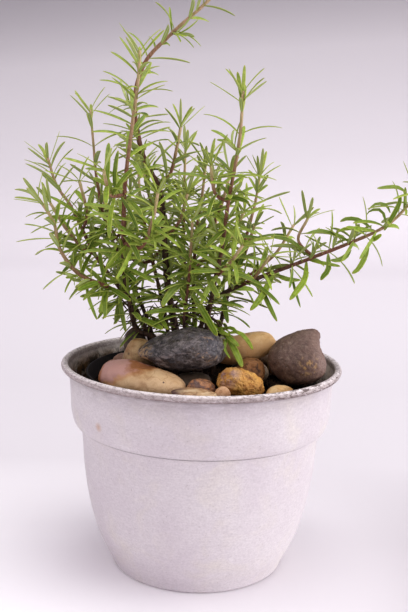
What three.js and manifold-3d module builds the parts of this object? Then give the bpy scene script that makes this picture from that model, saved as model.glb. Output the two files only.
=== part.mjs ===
// Potted rosemary: a painted metal pot, the plastic pot that stands in it, soil,
// river stones heaped on the soil, and the leafy stems that grow between them.
// Millimetres, +Z up. The origin is at the middle of the pot's flat base.

import * as THREE from 'three';
import { mergeVertices } from 'three/addons/utils/BufferGeometryUtils.js';
import Module from 'manifold-3d';

const wasm = await Module();
wasm.setup();

// Driving dimensions
const GAP = 0.3; // between pieces that rest on each other
const POT = {
  height: 133.5, rimRadius: 90, beadDiameter: 4.5, wall: 1.2, floor: 1.5,
  footRadius: 54.6, creaseHeight: 93.6, creaseRadius: 79.9,
  collarRadius: 84, collarRound: 15.3, collarTopRadius: 85.2, footRound: 2, sides: 36,
};
// radius of the pot's body at a few heights, joined by a smooth curve
const POT_BODY = [[57.8, 5], [65.8, 22], [71.4, 42], [75, 65], [76.4, 84]];
const COLLAR_ANGLES = [0, 30, 60, 90]; // degrees round the collar's quarter ellipse
const BEAD_ANGLES = [-100, -30, 30, 90, 150]; // degrees round the rolled rim
const LINER = {
  rimHeight: 127, rimRadius: 74.5, baseRadius: 51, bodyTopRadius: 71.8, lipDepth: 9, footRound: 2,
  wall: 1, drainRadius: 5, drainRing: 36, drainCount: 6, sides: 28,
};
const SOIL = { edgeHeight: 118, crownHeight: 120 };
const HOLE_SIDES = 6;
const HOLE_ROOM = 2.5; // round a stem in its hole
const ROOT_DEPTH = 10; // how far a stem stands in its hole

const STONE_SEED = 500;
const STONE_SEED_STEP = 37;
const STONE_WAVES = 5; // gentle waves over each stone's surface
const STONE_DRIFT = 3; // how far a stone may roll as it settles
const SETTLE = { ways: 8, reach: 0.5, first: 1, last: 0.05, look: 2 };

const TUBE = { step: 17, sides: 6, branchSides: 4, branchBare: 9, thinning: 0.8 };
// A leaf bends out from its pitch, and droops. The young ones near a tip are shorter and steeper.
const LEAF = {
  length: 26, width: 2.8, thickness: 1.1, steps: 6,
  pitch: 60, bend: 14, droop: 0.04,
  youngFrom: 0.5, youngPower: 2, youngLength: -0.34, youngPitch: -34, youngBend: -6,
};
const WHORL_SPACING = 12.9; // between leaf pairs along a shoot
const WHORL_CROWDING = 0.93; // under 1 spreads the lower pairs and crowds the upper ones
const WHORL_TURN = 90; // each pair stands across the one below it
const LAST_WHORL = 0.995; // share of the length where the topmost leaves start
const FOLIAGE_FLOOR = 162; // no leaf hangs lower than this, over the stones and the rim
const CLEAR_OWN = 0.1; // room between the leaves of one stem
const CLEAR_OTHER = 0.8; // room between the leaves of different stems
const SIMPLIFY = 0.05; // how far a stem's surface may move as its small faces are merged

// Stems as seen from the front: the points run from the foot in the soil to the tip.
// bare is the leafless length at the foot, and a branch starts on its parent's curve at a height.
const STEMS = [
  {
    name: 'stem_front_tall', seed: 11, radius: [2.1, 0.8], bare: 66, turn: 20,
    points: [[-17, -3], [-31, 2, 146], [-42, 2, 151], [-46, -1, 164], [-50, -13, 193],
      [-48, -38, 240], [-43, -54, 276], [-39, -63, 302], [-38, -67, 318]],
    branches: [
      { height: 196, radius: [1.2, 0.9], points: [[-38, -34, 209], [-31, -42, 226], [-28, -46, 242]] },
      { height: 228, radius: [1.1, 0.9], points: [[-55, -50, 240], [-58, -58, 254]] },
    ],
  },
  {
    name: 'stem_right_upright', seed: 23, radius: [1.8, 0.8], bare: 64, turn: 85,
    points: [[3, -2], [2, -7, 150], [6, -14, 183], [10, -21, 206], [13, -29, 236],
      [18, -39, 272], [19, -46, 300]],
    branches: [
      { height: 190, radius: [1.1, 0.9], points: [[15, -34, 201], [22, -46, 213]] },
      { height: 226, radius: [1.0, 0.9], points: [[5, -33, 242], [2, -38, 258]] },
    ],
  },
  {
    name: 'stem_right_low', seed: 37, radius: [1.9, 0.8], bare: 62, turn: 70,
    points: [[-1, 8], [-2, 6, 150], [6, 6, 171], [25, 4, 183], [66, 0, 201], [91, -2, 212],
      [112, -4, 223], [125, -5, 236], [134, -6, 251]],
    branches: [
      { height: 181, radius: [1.1, 0.9], points: [[32, -8, 190], [40, -16, 204]] },
      { height: 196, radius: [1.0, 0.9], points: [[60, 10, 212], [66, 14, 226]] },
    ],
  },
  {
    name: 'stem_left', seed: 41, radius: [1.9, 0.8], bare: 74, turn: 15,
    points: [[-22, 6], [-36, 9, 148], [-47, 10, 168], [-62, 14, 185], [-74, 18, 201],
      [-88, 21, 228], [-98, 22, 242], [-104, 22, 260]],
    branches: [
      { height: 171, radius: [1.4, 0.9], points: [[-62, -12, 182], [-78, -18, 190], [-89, -19, 205],
        [-93, -18, 221], [-103, -16, 236]] },
      { height: 193, radius: [1.1, 0.9], points: [[-78, 2, 204], [-88, -2, 216], [-98, -2, 232]] },
      { height: 210, radius: [1.0, 0.9], points: [[-76, 6, 226], [-80, 0, 246]] },
    ],
  },
  {
    name: 'stem_left_back', seed: 53, radius: [1.5, 0.7], bare: 76, turn: 5,
    points: [[-27, 13], [-34, 17, 147], [-47, 22, 178], [-65, 28, 214], [-73, 32, 245],
      [-76, 34, 271], [-78, 34, 292]],
    branches: [
      { height: 200, radius: [1.0, 0.9], points: [[-54, 40, 216], [-52, 46, 238]] },
    ],
  },
  {
    name: 'stem_back_tall', seed: 67, radius: [2.7, 0.8], bare: 66, turn: 80,
    points: [[-12, 12], [-17, 8, 146], [-23, 11, 175], [-27, 14, 210], [-30, 16, 240],
      [-42, 19, 264], [-48, 22, 295], [-42, 22, 321], [-25, 22, 340], [-4, 22, 359],
      [8, 22, 373], [14, 22, 386]],
    branches: [
      { height: 205, radius: [1.1, 0.9], points: [[-17, 6, 222], [-12, 2, 240]] },
      { height: 236, radius: [1.2, 0.9], points: [[-24, 22, 252], [-20, 24, 270], [-18, 24, 282]] },
      { height: 215, radius: [1.1, 0.9], points: [[-36, 30, 230], [-42, 38, 252]] },
    ],
  },
  {
    name: 'stem_centre', seed: 71, radius: [1.1, 0.8], bare: 60, turn: 60,
    points: [[-8, -6], [-12, -10, 160], [-10, -14, 182], [-9, -17, 200], [-8, -20, 226]],
    branches: [],
  },
  {
    name: 'stem_centre_back', seed: 83, radius: [1.7, 0.8], bare: 62, turn: 40,
    points: [[-3, 20], [-7, 22, 175], [-6, 26, 214], [-3, 29, 238], [-1, 30, 260]],
    branches: [
      { height: 208, radius: [1.1, 0.9], points: [[6, 26, 222], [12, 24, 240], [15, 24, 254]] },
      { height: 188, radius: [1.1, 0.9], points: [[8, 14, 202], [18, 6, 216], [24, 2, 230]] },
    ],
  },
  {
    name: 'stem_back_left', seed: 97, radius: [1.7, 0.8], bare: 60, turn: 0,
    points: [[-19, 20], [-27, 34, 160], [-38, 50, 198], [-46, 62, 232], [-49, 69, 258]],
    branches: [
      { height: 180, radius: [1.1, 0.9], points: [[-48, 42, 192], [-64, 46, 212], [-72, 50, 236]] },
      { height: 190, radius: [1.1, 0.9], points: [[-30, 64, 202], [-24, 78, 222]] },
    ],
  },
  {
    name: 'stem_back', seed: 101, radius: [1.7, 0.8], bare: 60, turn: 50,
    points: [[-10, 27], [-12, 43, 162], [-15, 60, 202], [-16, 72, 240], [-16, 78, 270]],
    branches: [
      { height: 176, radius: [1.1, 0.9], points: [[-2, 62, 190], [6, 76, 212], [10, 82, 232]] },
    ],
  },
  {
    name: 'stem_back_right', seed: 113, radius: [1.7, 0.8], bare: 58, turn: 25,
    points: [[7, 18], [14, 33, 162], [25, 47, 198], [33, 57, 228], [37, 62, 252]],
    branches: [
      { height: 172, radius: [1.1, 0.9], points: [[32, 36, 186], [48, 38, 200], [60, 40, 220]] },
      { height: 184, radius: [1.1, 0.9], points: [[26, 28, 198], [32, 20, 220]] },
    ],
  },
];

// Stones: half sizes, middle and turn (degrees) about X, Y and Z. In this order they settle
// onto what lies under them. taper narrows the end towards -X, lean bends the top towards +X,
// and each dent is pressed in from one side. A coarse stone is small or lies hidden.
const STONES = [
  { name: 'stone_base_middle', size: [13, 9, 6], place: [-6, -28, 127], turn: [0, 0, 20], coarse: true,
    colour: 0x6d5f50 },
  { name: 'stone_base_left', size: [9, 8, 8], place: [-55, -11, 128], turn: [0, 5, 40], coarse: true,
    colour: 0xa98674 },
  { name: 'stone_base_side', size: [9.5, 12, 6], place: [-39, -1, 125], turn: [0, 0, 10], coarse: true,
    colour: 0x8a7660 },
  { name: 'stone_base_right', size: [13, 9, 8], place: [30, -7, 128], turn: [4, 0, 15], coarse: true,
    colour: 0x95826a },
  { name: 'stone_base_edge', size: [9, 8, 7], place: [61, -1, 128], turn: [0, -4, 60], coarse: true,
    colour: 0x7c6650 },
  { name: 'stone_pink_tan', size: [28.5, 14, 10], place: [-38, -42.5, 130], turn: [8, 6, -28], lump: 0.05,
    colour: 0xb08f78 },
  { name: 'stone_slab', size: [13, 7.5, 2.6], place: [-6, -67, 131], turn: [8, 4, 4], coarse: true,
    taper: 0.4, colour: 0xb08c68 },
  { name: 'stone_mottled', size: [9, 7, 7.5], place: [-3, -51, 127], turn: [0, 0, -10], coarse: true,
    colour: 0x9c7558 },
  { name: 'stone_knob', size: [5, 4.5, 6.5], place: [9, -62, 126], turn: [0, 0, 0], coarse: true,
    colour: 0xc49a72 },
  { name: 'stone_ochre', size: [13.5, 10.5, 9], place: [22.5, -47, 130], turn: [-8, 25, 8], lump: 0.07,
    square: 3, dents: [{ toward: [-0.2, -0.5, -0.8], depth: 0.16, width: 0.6 }], colour: 0xb8843f },
  { name: 'stone_small_tan', size: [10.5, 6, 5.8], place: [49.5, -49, 125], turn: [0, 6, 40],
    coarse: true, colour: 0xc2a376 },
  { name: 'stone_umber', size: [9, 8, 11], place: [30, -27, 131], turn: [0, 8, 10], coarse: true,
    square: 2.8, colour: 0x80573a },
  { name: 'stone_dark', size: [26.5, 15.5, 12.8], place: [-16.5, -32, 146], turn: [4, -6, 4], taper: 0.45,
    square: 2.6, lump: 0.045, colour: 0x3f3f44 },
  { name: 'stone_oval', size: [9.5, 8, 12.5], place: [-41, -14, 142], turn: [0, 8, 30], coarse: true,
    colour: 0xa58559 },
  { name: 'stone_brown_small', size: [7.5, 7, 12.5], place: [-44, 8, 143], turn: [0, 0, 0], coarse: true,
    colour: 0x6f5b4a },
  { name: 'stone_long_tan', size: [20, 12, 8], place: [27, -9, 147], turn: [8, -15, 4], lump: 0.03,
    square: 2.6, colour: 0xc4a077 },
  { name: 'stone_brown', size: [19, 15.5, 18], place: [61.5, -27.5, 142], turn: [0, 4, -10], lump: 0.03,
    lean: 0.42, dents: [{ toward: [1, -0.1, 0.42], depth: 0.24, width: 0.42 }], colour: 0x5d4b43 },
  { name: 'stone_back_tan', size: [12, 9, 10.5], place: [-29, 37, 131], turn: [0, 0, 30], coarse: true,
    colour: 0xa88a62 },
  { name: 'stone_back_left', size: [10, 9, 6], place: [-52, 27, 126], turn: [0, 0, -50], coarse: true,
    colour: 0xa98674 },
  { name: 'stone_back_grey', size: [15, 9, 8], place: [-20, 58, 128], turn: [0, 0, 15], coarse: true,
    colour: 0x77726c },
  { name: 'stone_back_pale', size: [14, 10, 8], place: [11, 54, 128], turn: [0, 0, -20], coarse: true,
    colour: 0xb9a48a },
  { name: 'stone_back_umber', size: [13, 10, 8], place: [38, 42, 128], turn: [0, 0, -45], coarse: true,
    colour: 0x6c5443 },
  { name: 'stone_back_right', size: [12, 10, 8], place: [54, 21, 128], turn: [0, 0, 70], coarse: true,
    colour: 0xa3875f },
  { name: 'stone_back_small', size: [8, 7, 7], place: [29, 20, 128], turn: [0, 0, 0], coarse: true,
    colour: 0x8d6f52 },
];

function seeded(seed) {
  let state = seed;
  return () => {
    state = (state * 16807) % 2147483647;
    return state / 2147483647;
  };
}

function toSolid(geometry) {
  const bare = geometry.clone();
  bare.deleteAttribute('normal');
  bare.deleteAttribute('uv');
  const merged = mergeVertices(bare, 1e-4);
  return new wasm.Manifold(new wasm.Mesh({
    numProp: 3,
    vertProperties: new Float32Array(merged.attributes.position.array),
    triVerts: new Uint32Array(merged.index.array),
  }));
}

function toGeometry(solid) {
  const mesh = solid.getMesh();
  const geometry = new THREE.BufferGeometry();
  geometry.setAttribute('position', new THREE.BufferAttribute(mesh.vertProperties, 3));
  geometry.setIndex(new THREE.BufferAttribute(mesh.triVerts, 1));
  geometry.computeVertexNormals();
  return geometry;
}

function addPiece(parent, name, geometry, colour, roughness, metalness = 0) {
  const material = new THREE.MeshStandardMaterial({ color: colour, roughness, metalness });
  const mesh = new THREE.Mesh(geometry, material);
  mesh.name = name;
  parent.add(mesh);
}

// A closed solid through rings of points, ended by flat caps or by single points.
function loft(rings, tip, root) {
  const sides = rings[0].length;
  const points = rings.flat();
  const faces = [];
  for (let ring = 0; ring + 1 < rings.length; ring += 1) {
    for (let side = 0; side < sides; side += 1) {
      const here = ring * sides + side;
      const next = ring * sides + ((side + 1) % sides);
      faces.push(here, next, next + sides, here, next + sides, here + sides);
    }
  }
  if (root) {
    points.push(root);
    for (let side = 0; side < sides; side += 1) {
      faces.push((side + 1) % sides, side, points.length - 1);
    }
  } else {
    for (let side = 1; side + 1 < sides; side += 1) {
      faces.push(0, side + 1, side);
    }
  }
  const last = (rings.length - 1) * sides;
  points.push(tip);
  for (let side = 0; side < sides; side += 1) {
    faces.push(last + side, last + ((side + 1) % sides), points.length - 1);
  }
  const geometry = new THREE.BufferGeometry().setFromPoints(points);
  geometry.setIndex(faces);
  return geometry;
}

// Turned about the vertical axis from [radius, height] points that run round the section
// with the material on their left, so that the faces point out.
function turned(profile, segments) {
  return toSolid(new THREE.LatheGeometry(profile.map(([r, z]) => new THREE.Vector2(r, z)), segments)
    .rotateX(Math.PI / 2));
}

function upright(radius, bottom, top, x, y, sides) {
  return toSolid(new THREE.CylinderGeometry(radius, radius, top - bottom, sides)
    .rotateX(Math.PI / 2)
    .translate(x, y, (top + bottom) / 2));
}

function potSection() {
  const bodyCurve = new THREE.SplineCurve(POT_BODY.map(([r, z]) => new THREE.Vector2(r, z)));
  const body = bodyCurve.getPoints(POT_BODY.length).map((p) => [p.x, p.y]);
  const collar = COLLAR_ANGLES.map((degrees) => {
    const angle = THREE.MathUtils.degToRad(degrees);
    return [
      POT.creaseRadius + (POT.collarRadius - POT.creaseRadius) * Math.sin(angle),
      POT.creaseHeight + POT.collarRound * (1 - Math.cos(angle)),
    ];
  });
  const beadRadius = POT.beadDiameter / 2;
  const beadHeight = POT.height - beadRadius;
  const bead = BEAD_ANGLES.map((degrees) => {
    const angle = THREE.MathUtils.degToRad(degrees);
    return [
      POT.rimRadius - beadRadius + beadRadius * Math.cos(angle),
      beadHeight + beadRadius * Math.sin(angle),
    ];
  });
  const inside = [body[0], body[1], body[3], body[5], collar[0], collar[1], collar[3]]
    .map(([r, z]) => [r - POT.wall, z])
    .reverse();
  return [
    [0, 0],
    [POT.footRadius, 0],
    [POT.footRadius + POT.footRound, POT.footRound * 0.75],
    ...body,
    ...collar,
    ...bead,
    [POT.collarTopRadius - POT.wall, beadHeight - beadRadius],
    ...inside,
    [POT.footRadius, POT.floor],
    [0, POT.floor],
  ];
}

function linerSection() {
  const foot = POT.floor + GAP;
  const lip = LINER.rimHeight - LINER.lipDepth;
  const wall = LINER.wall;
  return [
    [0, foot],
    [LINER.baseRadius - LINER.footRound, foot],
    [LINER.baseRadius, foot + LINER.footRound],
    [LINER.bodyTopRadius, lip],
    [LINER.rimRadius, lip + 1],
    [LINER.rimRadius, LINER.rimHeight],
    [LINER.rimRadius - wall, LINER.rimHeight],
    [LINER.rimRadius - wall, lip + 1 + wall],
    [LINER.bodyTopRadius - wall, lip + wall],
    [LINER.baseRadius - wall, foot + LINER.footRound + wall],
    [LINER.baseRadius - LINER.footRound - wall, foot + wall],
    [0, foot + wall],
  ];
}

function makeLiner() {
  let solid = turned(linerSection(), LINER.sides);
  for (let hole = 0; hole < LINER.drainCount; hole += 1) {
    const angle = (hole / LINER.drainCount) * 2 * Math.PI;
    const x = LINER.drainRing * Math.cos(angle);
    const y = LINER.drainRing * Math.sin(angle);
    const cutter = upright(LINER.drainRadius, 0, POT.floor + 2 * GAP + 2 * LINER.wall, x, y, HOLE_SIDES);
    solid = solid.subtract(cutter);
  }
  return solid;
}

function makeSoil() {
  const foot = POT.floor + LINER.wall + 2 * GAP;
  const inset = LINER.wall + GAP;
  const lip = LINER.rimHeight - LINER.lipDepth;
  const rise = (SOIL.edgeHeight - foot) / (lip - foot);
  const edge = THREE.MathUtils.lerp(LINER.baseRadius, LINER.bodyTopRadius, rise) - inset - GAP;
  let solid = turned([
    [0, foot],
    [LINER.baseRadius - LINER.footRound - inset, foot],
    [LINER.baseRadius - inset, foot + LINER.footRound],
    [edge, SOIL.edgeHeight],
    [0, SOIL.crownHeight],
  ], LINER.sides);
  for (const stem of STEMS) {
    const [x, y] = stem.points[0];
    const bottom = SOIL.crownHeight - ROOT_DEPTH - GAP;
    const top = SOIL.crownHeight + GAP;
    solid = solid.subtract(upright(stem.radius[0] + HOLE_ROOM, bottom, top, x, y, HOLE_SIDES));
  }
  return solid;
}

// One river stone about its own middle, rounded and a little uneven.
function pebble(stone, seed) {
  const random = seeded(seed);
  const square = stone.square ?? 2.3;
  const lump = stone.lump ?? 0.05;
  const waves = [];
  for (let wave = 0; wave < STONE_WAVES; wave += 1) {
    const toward = new THREE.Vector3(random() - 0.5, random() - 0.5, random() - 0.5).normalize();
    waves.push({ toward, pitch: 1.5 + 2.5 * random(), phase: 2 * Math.PI * random() });
  }
  const geometry = new THREE.IcosahedronGeometry(1, stone.coarse ? 1 : 2);
  const place = geometry.attributes.position;
  const point = new THREE.Vector3();
  for (let i = 0; i < place.count; i += 1) {
    point.fromBufferAttribute(place, i).normalize();
    const power = Math.abs(point.x) ** square + Math.abs(point.y) ** square + Math.abs(point.z) ** square;
    let reach = power ** (-1 / square);
    for (const { toward, pitch, phase } of waves) {
      reach += lump * 0.5 * Math.sin(pitch * point.dot(toward) * 2 + phase);
    }
    for (const { toward, depth, width } of stone.dents ?? []) {
      const away = point.distanceTo(new THREE.Vector3(...toward).normalize()) / width;
      reach -= depth * Math.exp(-away * away);
    }
    point.multiplyScalar(reach);
    const narrow = 1 - (stone.taper ?? 0) * Math.max(0, -point.x) ** 1.4;
    const bend = (stone.lean ?? 0) * Math.max(0, point.z) ** 2;
    const narrowTop = 1 - (stone.lean ?? 0) * 0.9 * Math.max(0, point.z);
    const [length, depth, height] = stone.size;
    place.setXYZ(i, (point.x * narrowTop + bend) * length, point.y * narrow * narrowTop * depth,
      point.z * narrow * height);
  }
  return toSolid(geometry).rotate(stone.turn).translate(stone.place);
}

// Moves a stone the shortest way that frees it, level or up a slope, then lets it sink
// and roll a little until it rests a gap above the heap.
function settle(solid, heap) {
  const clear = (place) => solid.translate(place).minGap(heap, SETTLE.look) >= GAP;
  const level = [[0, 0]];
  for (let way = 0; way < SETTLE.ways; way += 1) {
    const angle = (way / SETTLE.ways) * 2 * Math.PI;
    level.push([Math.cos(angle), Math.sin(angle)]);
  }
  let start;
  for (let reach = 0; !start; reach += SETTLE.reach) {
    const slant = reach * Math.SQRT1_2;
    start = level
      .flatMap(([x, y]) => [[x * reach, y * reach, 0], [x * slant, y * slant, slant]])
      .find(clear);
  }
  let place = start;
  for (let step = SETTLE.first; step > SETTLE.last; step /= 2) {
    let moved = true;
    while (moved) {
      const next = level
        .map(([x, y]) => [place[0] + x * step, place[1] + y * step, place[2] - step / 2])
        .find((spot) => Math.hypot(spot[0] - start[0], spot[1] - start[1]) <= STONE_DRIFT && clear(spot));
      moved = next !== undefined;
      place = next ?? place;
    }
  }
  return solid.translate(place);
}

// A stem's curve sampled by its length, with its thickness at each point.
function samplePath(points, radius) {
  const places = points.map((p) => new THREE.Vector3(...p));
  const curve = new THREE.CatmullRomCurve3(places, false, 'catmullrom', 0.5);
  const length = curve.getLength();
  const count = Math.max(2, Math.round(length / TUBE.step));
  const samples = [];
  for (let i = 0; i <= count; i += 1) {
    const along = i / count;
    samples.push({
      point: curve.getPointAt(along),
      tangent: curve.getTangentAt(along),
      radius: THREE.MathUtils.lerp(radius[0], radius[1], along ** TUBE.thinning),
    });
  }
  return { curve, length, samples, radius };
}

// The middle of a stem's straight-sided tube at a share of its length.
function tubeMiddle({ samples }, share) {
  const steps = samples.length - 1;
  const step = Math.min(Math.floor(share * steps), steps - 1);
  return samples[step].point.clone().lerp(samples[step + 1].point, share * steps - step);
}

function sideways(tangent) {
  const back = new THREE.Vector3(0, 1, 0);
  return back.addScaledVector(tangent, -back.dot(tangent)).normalize();
}

function stemTube(path, sides) {
  const rings = path.samples.map(({ point, tangent, radius }) => {
    const first = sideways(tangent);
    const second = new THREE.Vector3().crossVectors(tangent, first);
    return Array.from({ length: sides }, (_, side) => {
      const angle = (side / sides) * 2 * Math.PI;
      return point.clone()
        .addScaledVector(first, radius * Math.cos(angle))
        .addScaledVector(second, radius * Math.sin(angle));
    });
  });
  const end = path.samples[path.samples.length - 1];
  return toSolid(loft(rings, end.point.clone().addScaledVector(end.tangent, end.radius)));
}

// The largest body of a union, without loose scraps and with sealed hollows filled.
function wholeBody(solid) {
  return solid.decompose().sort((a, b) => b.volume() - a.volume())[0];
}

// The paths of one stem: the main one, then each branch from its height on the main one.
function stemPaths(stem) {
  const [[x, y], ...rest] = stem.points;
  const foot = [[x, y, SOIL.crownHeight - ROOT_DEPTH], [x, y, SOIL.crownHeight]];
  const main = samplePath([...foot, ...rest], stem.radius);
  const paths = [{ ...main, bare: stem.bare, turn: stem.turn }];
  stem.branches.forEach((branch, index) => {
    const fork = main.samples.findIndex((sample) => sample.point.z >= branch.height);
    const start = main.samples[fork].point.toArray();
    const path = samplePath([start, ...branch.points], branch.radius);
    paths.push({ ...path, bare: TUBE.branchBare, turn: stem.turn + 35 * (index + 1) });
  });
  return paths;
}

// The middle line of a leaf: it leaves the stem at an angle and bends outward and down.
function leafLine(point, tangent, outward, length, pitch, bend, droop) {
  const line = [point.clone()];
  for (let step = 0; step < LEAF.steps; step += 1) {
    const angle = THREE.MathUtils.degToRad(pitch + bend * ((step + 0.5) / LEAF.steps));
    const way = new THREE.Vector3()
      .addScaledVector(tangent, Math.cos(angle))
      .addScaledVector(outward, Math.sin(angle));
    way.z -= droop * ((step + 0.5) / LEAF.steps);
    way.normalize();
    line.push(line[step].clone().addScaledVector(way, length / LEAF.steps));
  }
  return line;
}

// Where a leaf is looked for when its first place is taken: turn round the stem,
// change of pitch and share of the length.
const TRIES = [
  [0, 0, 1], [17, 0, 1], [-17, 0, 1], [0, -16, 1], [34, -5, 0.95], [-34, -5, 0.95],
  [0, -28, 0.85], [52, -8, 0.8], [-52, -8, 0.8], [0, 15, 0.7], [0, -34, 0.55],
];

// Points already taken by stems and leaves, with the stem that they belong to.
const taken = [];

function isFree(line, owner, whorl) {
  for (let i = 2; i < line.length; i += 1) {
    const { x, y, z } = line[i];
    if (z < FOLIAGE_FLOOR) {
      return false;
    }
    for (const other of taken) {
      const own = other.owner === owner;
      if (own && (other.whorl === whorl || other.whorl < 0)) {
        continue;
      }
      const apart = other.radius + LEAF.width / 2 + (own ? CLEAR_OWN : CLEAR_OTHER);
      const dx = x - other.point.x;
      const dy = y - other.point.y;
      const dz = z - other.point.z;
      if (dx * dx + dy * dy + dz * dz < apart * apart) {
        return false;
      }
    }
  }
  return true;
}

function growLeaves(stem, paths) {
  const random = seeded(stem.seed);
  const leaves = [];
  let whorl = 0;
  for (const path of paths) {
    const leafy = path.length - path.bare;
    const count = Math.max(2, Math.round(leafy / WHORL_SPACING));
    for (let node = 0; node <= count; node += 1) {
      whorl += 1;
      const share = node / count;
      const along = Math.min((path.bare + leafy * share ** WHORL_CROWDING) / path.length, LAST_WHORL);
      const point = tubeMiddle(path, along);
      const tangent = path.curve.getTangentAt(along);
      const first = sideways(tangent);
      const second = new THREE.Vector3().crossVectors(tangent, first);
      const young = Math.max(0, (share - LEAF.youngFrom) / (1 - LEAF.youngFrom)) ** LEAF.youngPower;
      const turn = path.turn + WHORL_TURN * node;
      for (let leaf = 0; leaf < 2; leaf += 1) {
        const turnBy = turn + 180 * leaf + 26 * (random() - 0.5);
        const length = LEAF.length * (0.84 + 0.3 * random()) * (1 + LEAF.youngLength * young);
        const pitch = LEAF.pitch + LEAF.youngPitch * young + 20 * (random() - 0.5);
        const bend = LEAF.bend + LEAF.youngBend * young + 24 * random();
        const droop = LEAF.droop + 0.3 * random();
        for (const [turnMore, pitchMore, scale] of TRIES) {
          const angle = THREE.MathUtils.degToRad(turnBy + turnMore);
          const outward = new THREE.Vector3()
            .addScaledVector(first, Math.cos(angle))
            .addScaledVector(second, Math.sin(angle));
          const line = leafLine(point, tangent, outward, length * scale, pitch + pitchMore, bend, droop);
          if (isFree(line, stem.name, whorl)) {
            const wide = new THREE.Vector3().crossVectors(tangent, outward);
            leaves.push({ line, wide });
            for (let i = 2; i < line.length; i += 1) {
              taken.push({ point: line[i], radius: LEAF.width / 2, owner: stem.name, whorl });
            }
            break;
          }
        }
      }
    }
  }
  return leaves;
}

// A needle of triangular section that starts at a point inside the stem, with its ridge
// below, where a leaf has its midrib.
function leafSolid({ line, wide }) {
  const rings = [2, 4].map((index) => {
    const way = line[index + 1].clone().sub(line[index - 1]).normalize();
    const up = new THREE.Vector3().crossVectors(wide, way).normalize();
    const low = line[index].clone().addScaledVector(up, -LEAF.thickness * 0.4);
    return [
      low.clone().addScaledVector(wide, LEAF.width / 2),
      low.clone().addScaledVector(wide, -LEAF.width / 2),
      line[index].clone().addScaledVector(up, LEAF.thickness * 0.6),
    ];
  });
  return toSolid(loft(rings, line[LEAF.steps], line[0]));
}

function markStem(stem, paths) {
  for (const path of paths) {
    for (let along = 0; along <= path.length; along += 3) {
      const share = along / path.length;
      const radius = THREE.MathUtils.lerp(path.radius[0], path.radius[1], share ** TUBE.thinning);
      taken.push({ point: tubeMiddle(path, share), radius, owner: stem.name, whorl: -1 });
    }
  }
}

const plant = new THREE.Group();
plant.name = 'potted_rosemary';

const potSolid = turned(potSection(), POT.sides);
const linerSolid = makeLiner();
const soilSolid = makeSoil();
addPiece(plant, 'pot', toGeometry(potSolid), 0xd9d5d8, 0.55, 0.1);
addPiece(plant, 'liner_pot', toGeometry(linerSolid), 0x1d1a18, 0.5);
addPiece(plant, 'soil', toGeometry(soilSolid), 0x2a211a, 0.95);

const allPaths = STEMS.map(stemPaths);
STEMS.forEach((stem, index) => markStem(stem, allPaths[index]));
const trunks = [];
STEMS.forEach((stem, index) => {
  const tubes = allPaths[index]
    .map((path, branch) => stemTube(path, branch === 0 ? TUBE.sides : TUBE.branchSides));
  trunks.push(tubes[0]);
  const leaves = growLeaves(stem, allPaths[index]).map(leafSolid);
  const solid = wholeBody(wasm.Manifold.union([...tubes, ...leaves]).simplify(SIMPLIFY));
  addPiece(plant, stem.name, toGeometry(solid), 0x5f8a35, 0.6);
});

let heap = wasm.Manifold.union([potSolid, linerSolid, soilSolid, ...trunks]);
STONES.forEach((stone, index) => {
  const solid = settle(pebble(stone, STONE_SEED + STONE_SEED_STEP * index), heap);
  heap = heap.add(solid);
  addPiece(plant, stone.name, toGeometry(solid), stone.colour, 0.7);
});

export default plant;
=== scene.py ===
"""Potted rosemary: the finished surfaces over the solid model. Metres, +Z up, front towards -Y.

Sizes are in millimetres where they don't say metres, in the solid model's own frame. Leaves and
stems follow the same rules as the solids, so that each fine leaf lies where its solid one does.
"""

import math

import bmesh
import bpy
import numpy as np
from mathutils import Euler, Matrix, Vector, noise
from mathutils.bvhtree import BVHTree


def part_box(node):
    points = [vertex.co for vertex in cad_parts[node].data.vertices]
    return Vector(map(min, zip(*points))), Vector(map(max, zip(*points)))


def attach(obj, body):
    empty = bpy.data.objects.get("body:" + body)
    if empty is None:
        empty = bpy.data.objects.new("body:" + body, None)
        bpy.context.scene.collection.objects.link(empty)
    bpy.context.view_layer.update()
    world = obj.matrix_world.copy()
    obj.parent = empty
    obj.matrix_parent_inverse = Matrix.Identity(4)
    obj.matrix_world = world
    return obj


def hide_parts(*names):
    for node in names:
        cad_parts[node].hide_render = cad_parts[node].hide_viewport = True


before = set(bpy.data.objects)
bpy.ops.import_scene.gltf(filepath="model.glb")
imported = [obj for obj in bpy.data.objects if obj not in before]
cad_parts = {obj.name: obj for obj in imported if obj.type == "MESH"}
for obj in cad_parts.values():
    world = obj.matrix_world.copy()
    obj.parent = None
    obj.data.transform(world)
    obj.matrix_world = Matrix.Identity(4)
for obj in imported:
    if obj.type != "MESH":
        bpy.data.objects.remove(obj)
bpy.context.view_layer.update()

MM = 0.001
UP = np.array([0.0, 0.0, 1.0])

# Camera at the photograph's viewing angle
CAMERA_PLACE = (0, -539.92, 258.87)
CAMERA_AIM = (0.36, 0, 168.84)
CAMERA_ROLL = 1.63  # degrees
CAMERA_LENS = 50.11
CAMERA_SENSOR = 36

# Outer pot
POT = {
    "height": 133.5, "rim": 90, "bead": 4.5, "wall": 1.2, "floor": 1.5, "foot": 54.6,
    "crease_height": 93.6, "crease": 79.9, "crease_depth": 0.7, "collar": 84, "collar_round": 15.3,
    "collar_top": 85.2, "collar_end": 126, "sides": 144,
}
POT_FOOT = [(-1, 0), (0, 0.15), (1.3, 0.6), (2, 1.5)]  # outwards from the foot's radius, and height
POT_BODY = [(57.8, 5), (65.8, 22), (71.4, 42), (75, 65), (76.4, 84), (77.6, 90.6)]
COLLAR_LEAN = [(0.25, 114), (0.55, 120)]  # outwards from the collar's radius, and height
BODY_POINTS = 44
COLLAR_POINTS = 14
BEAD_POINTS = 26
BEAD_ROLL = (-100, 190)  # degrees
OUT_OF_ROUND = 0.45
ROUND_BELOW = 40  # the height up to which the pot gets less round

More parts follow.
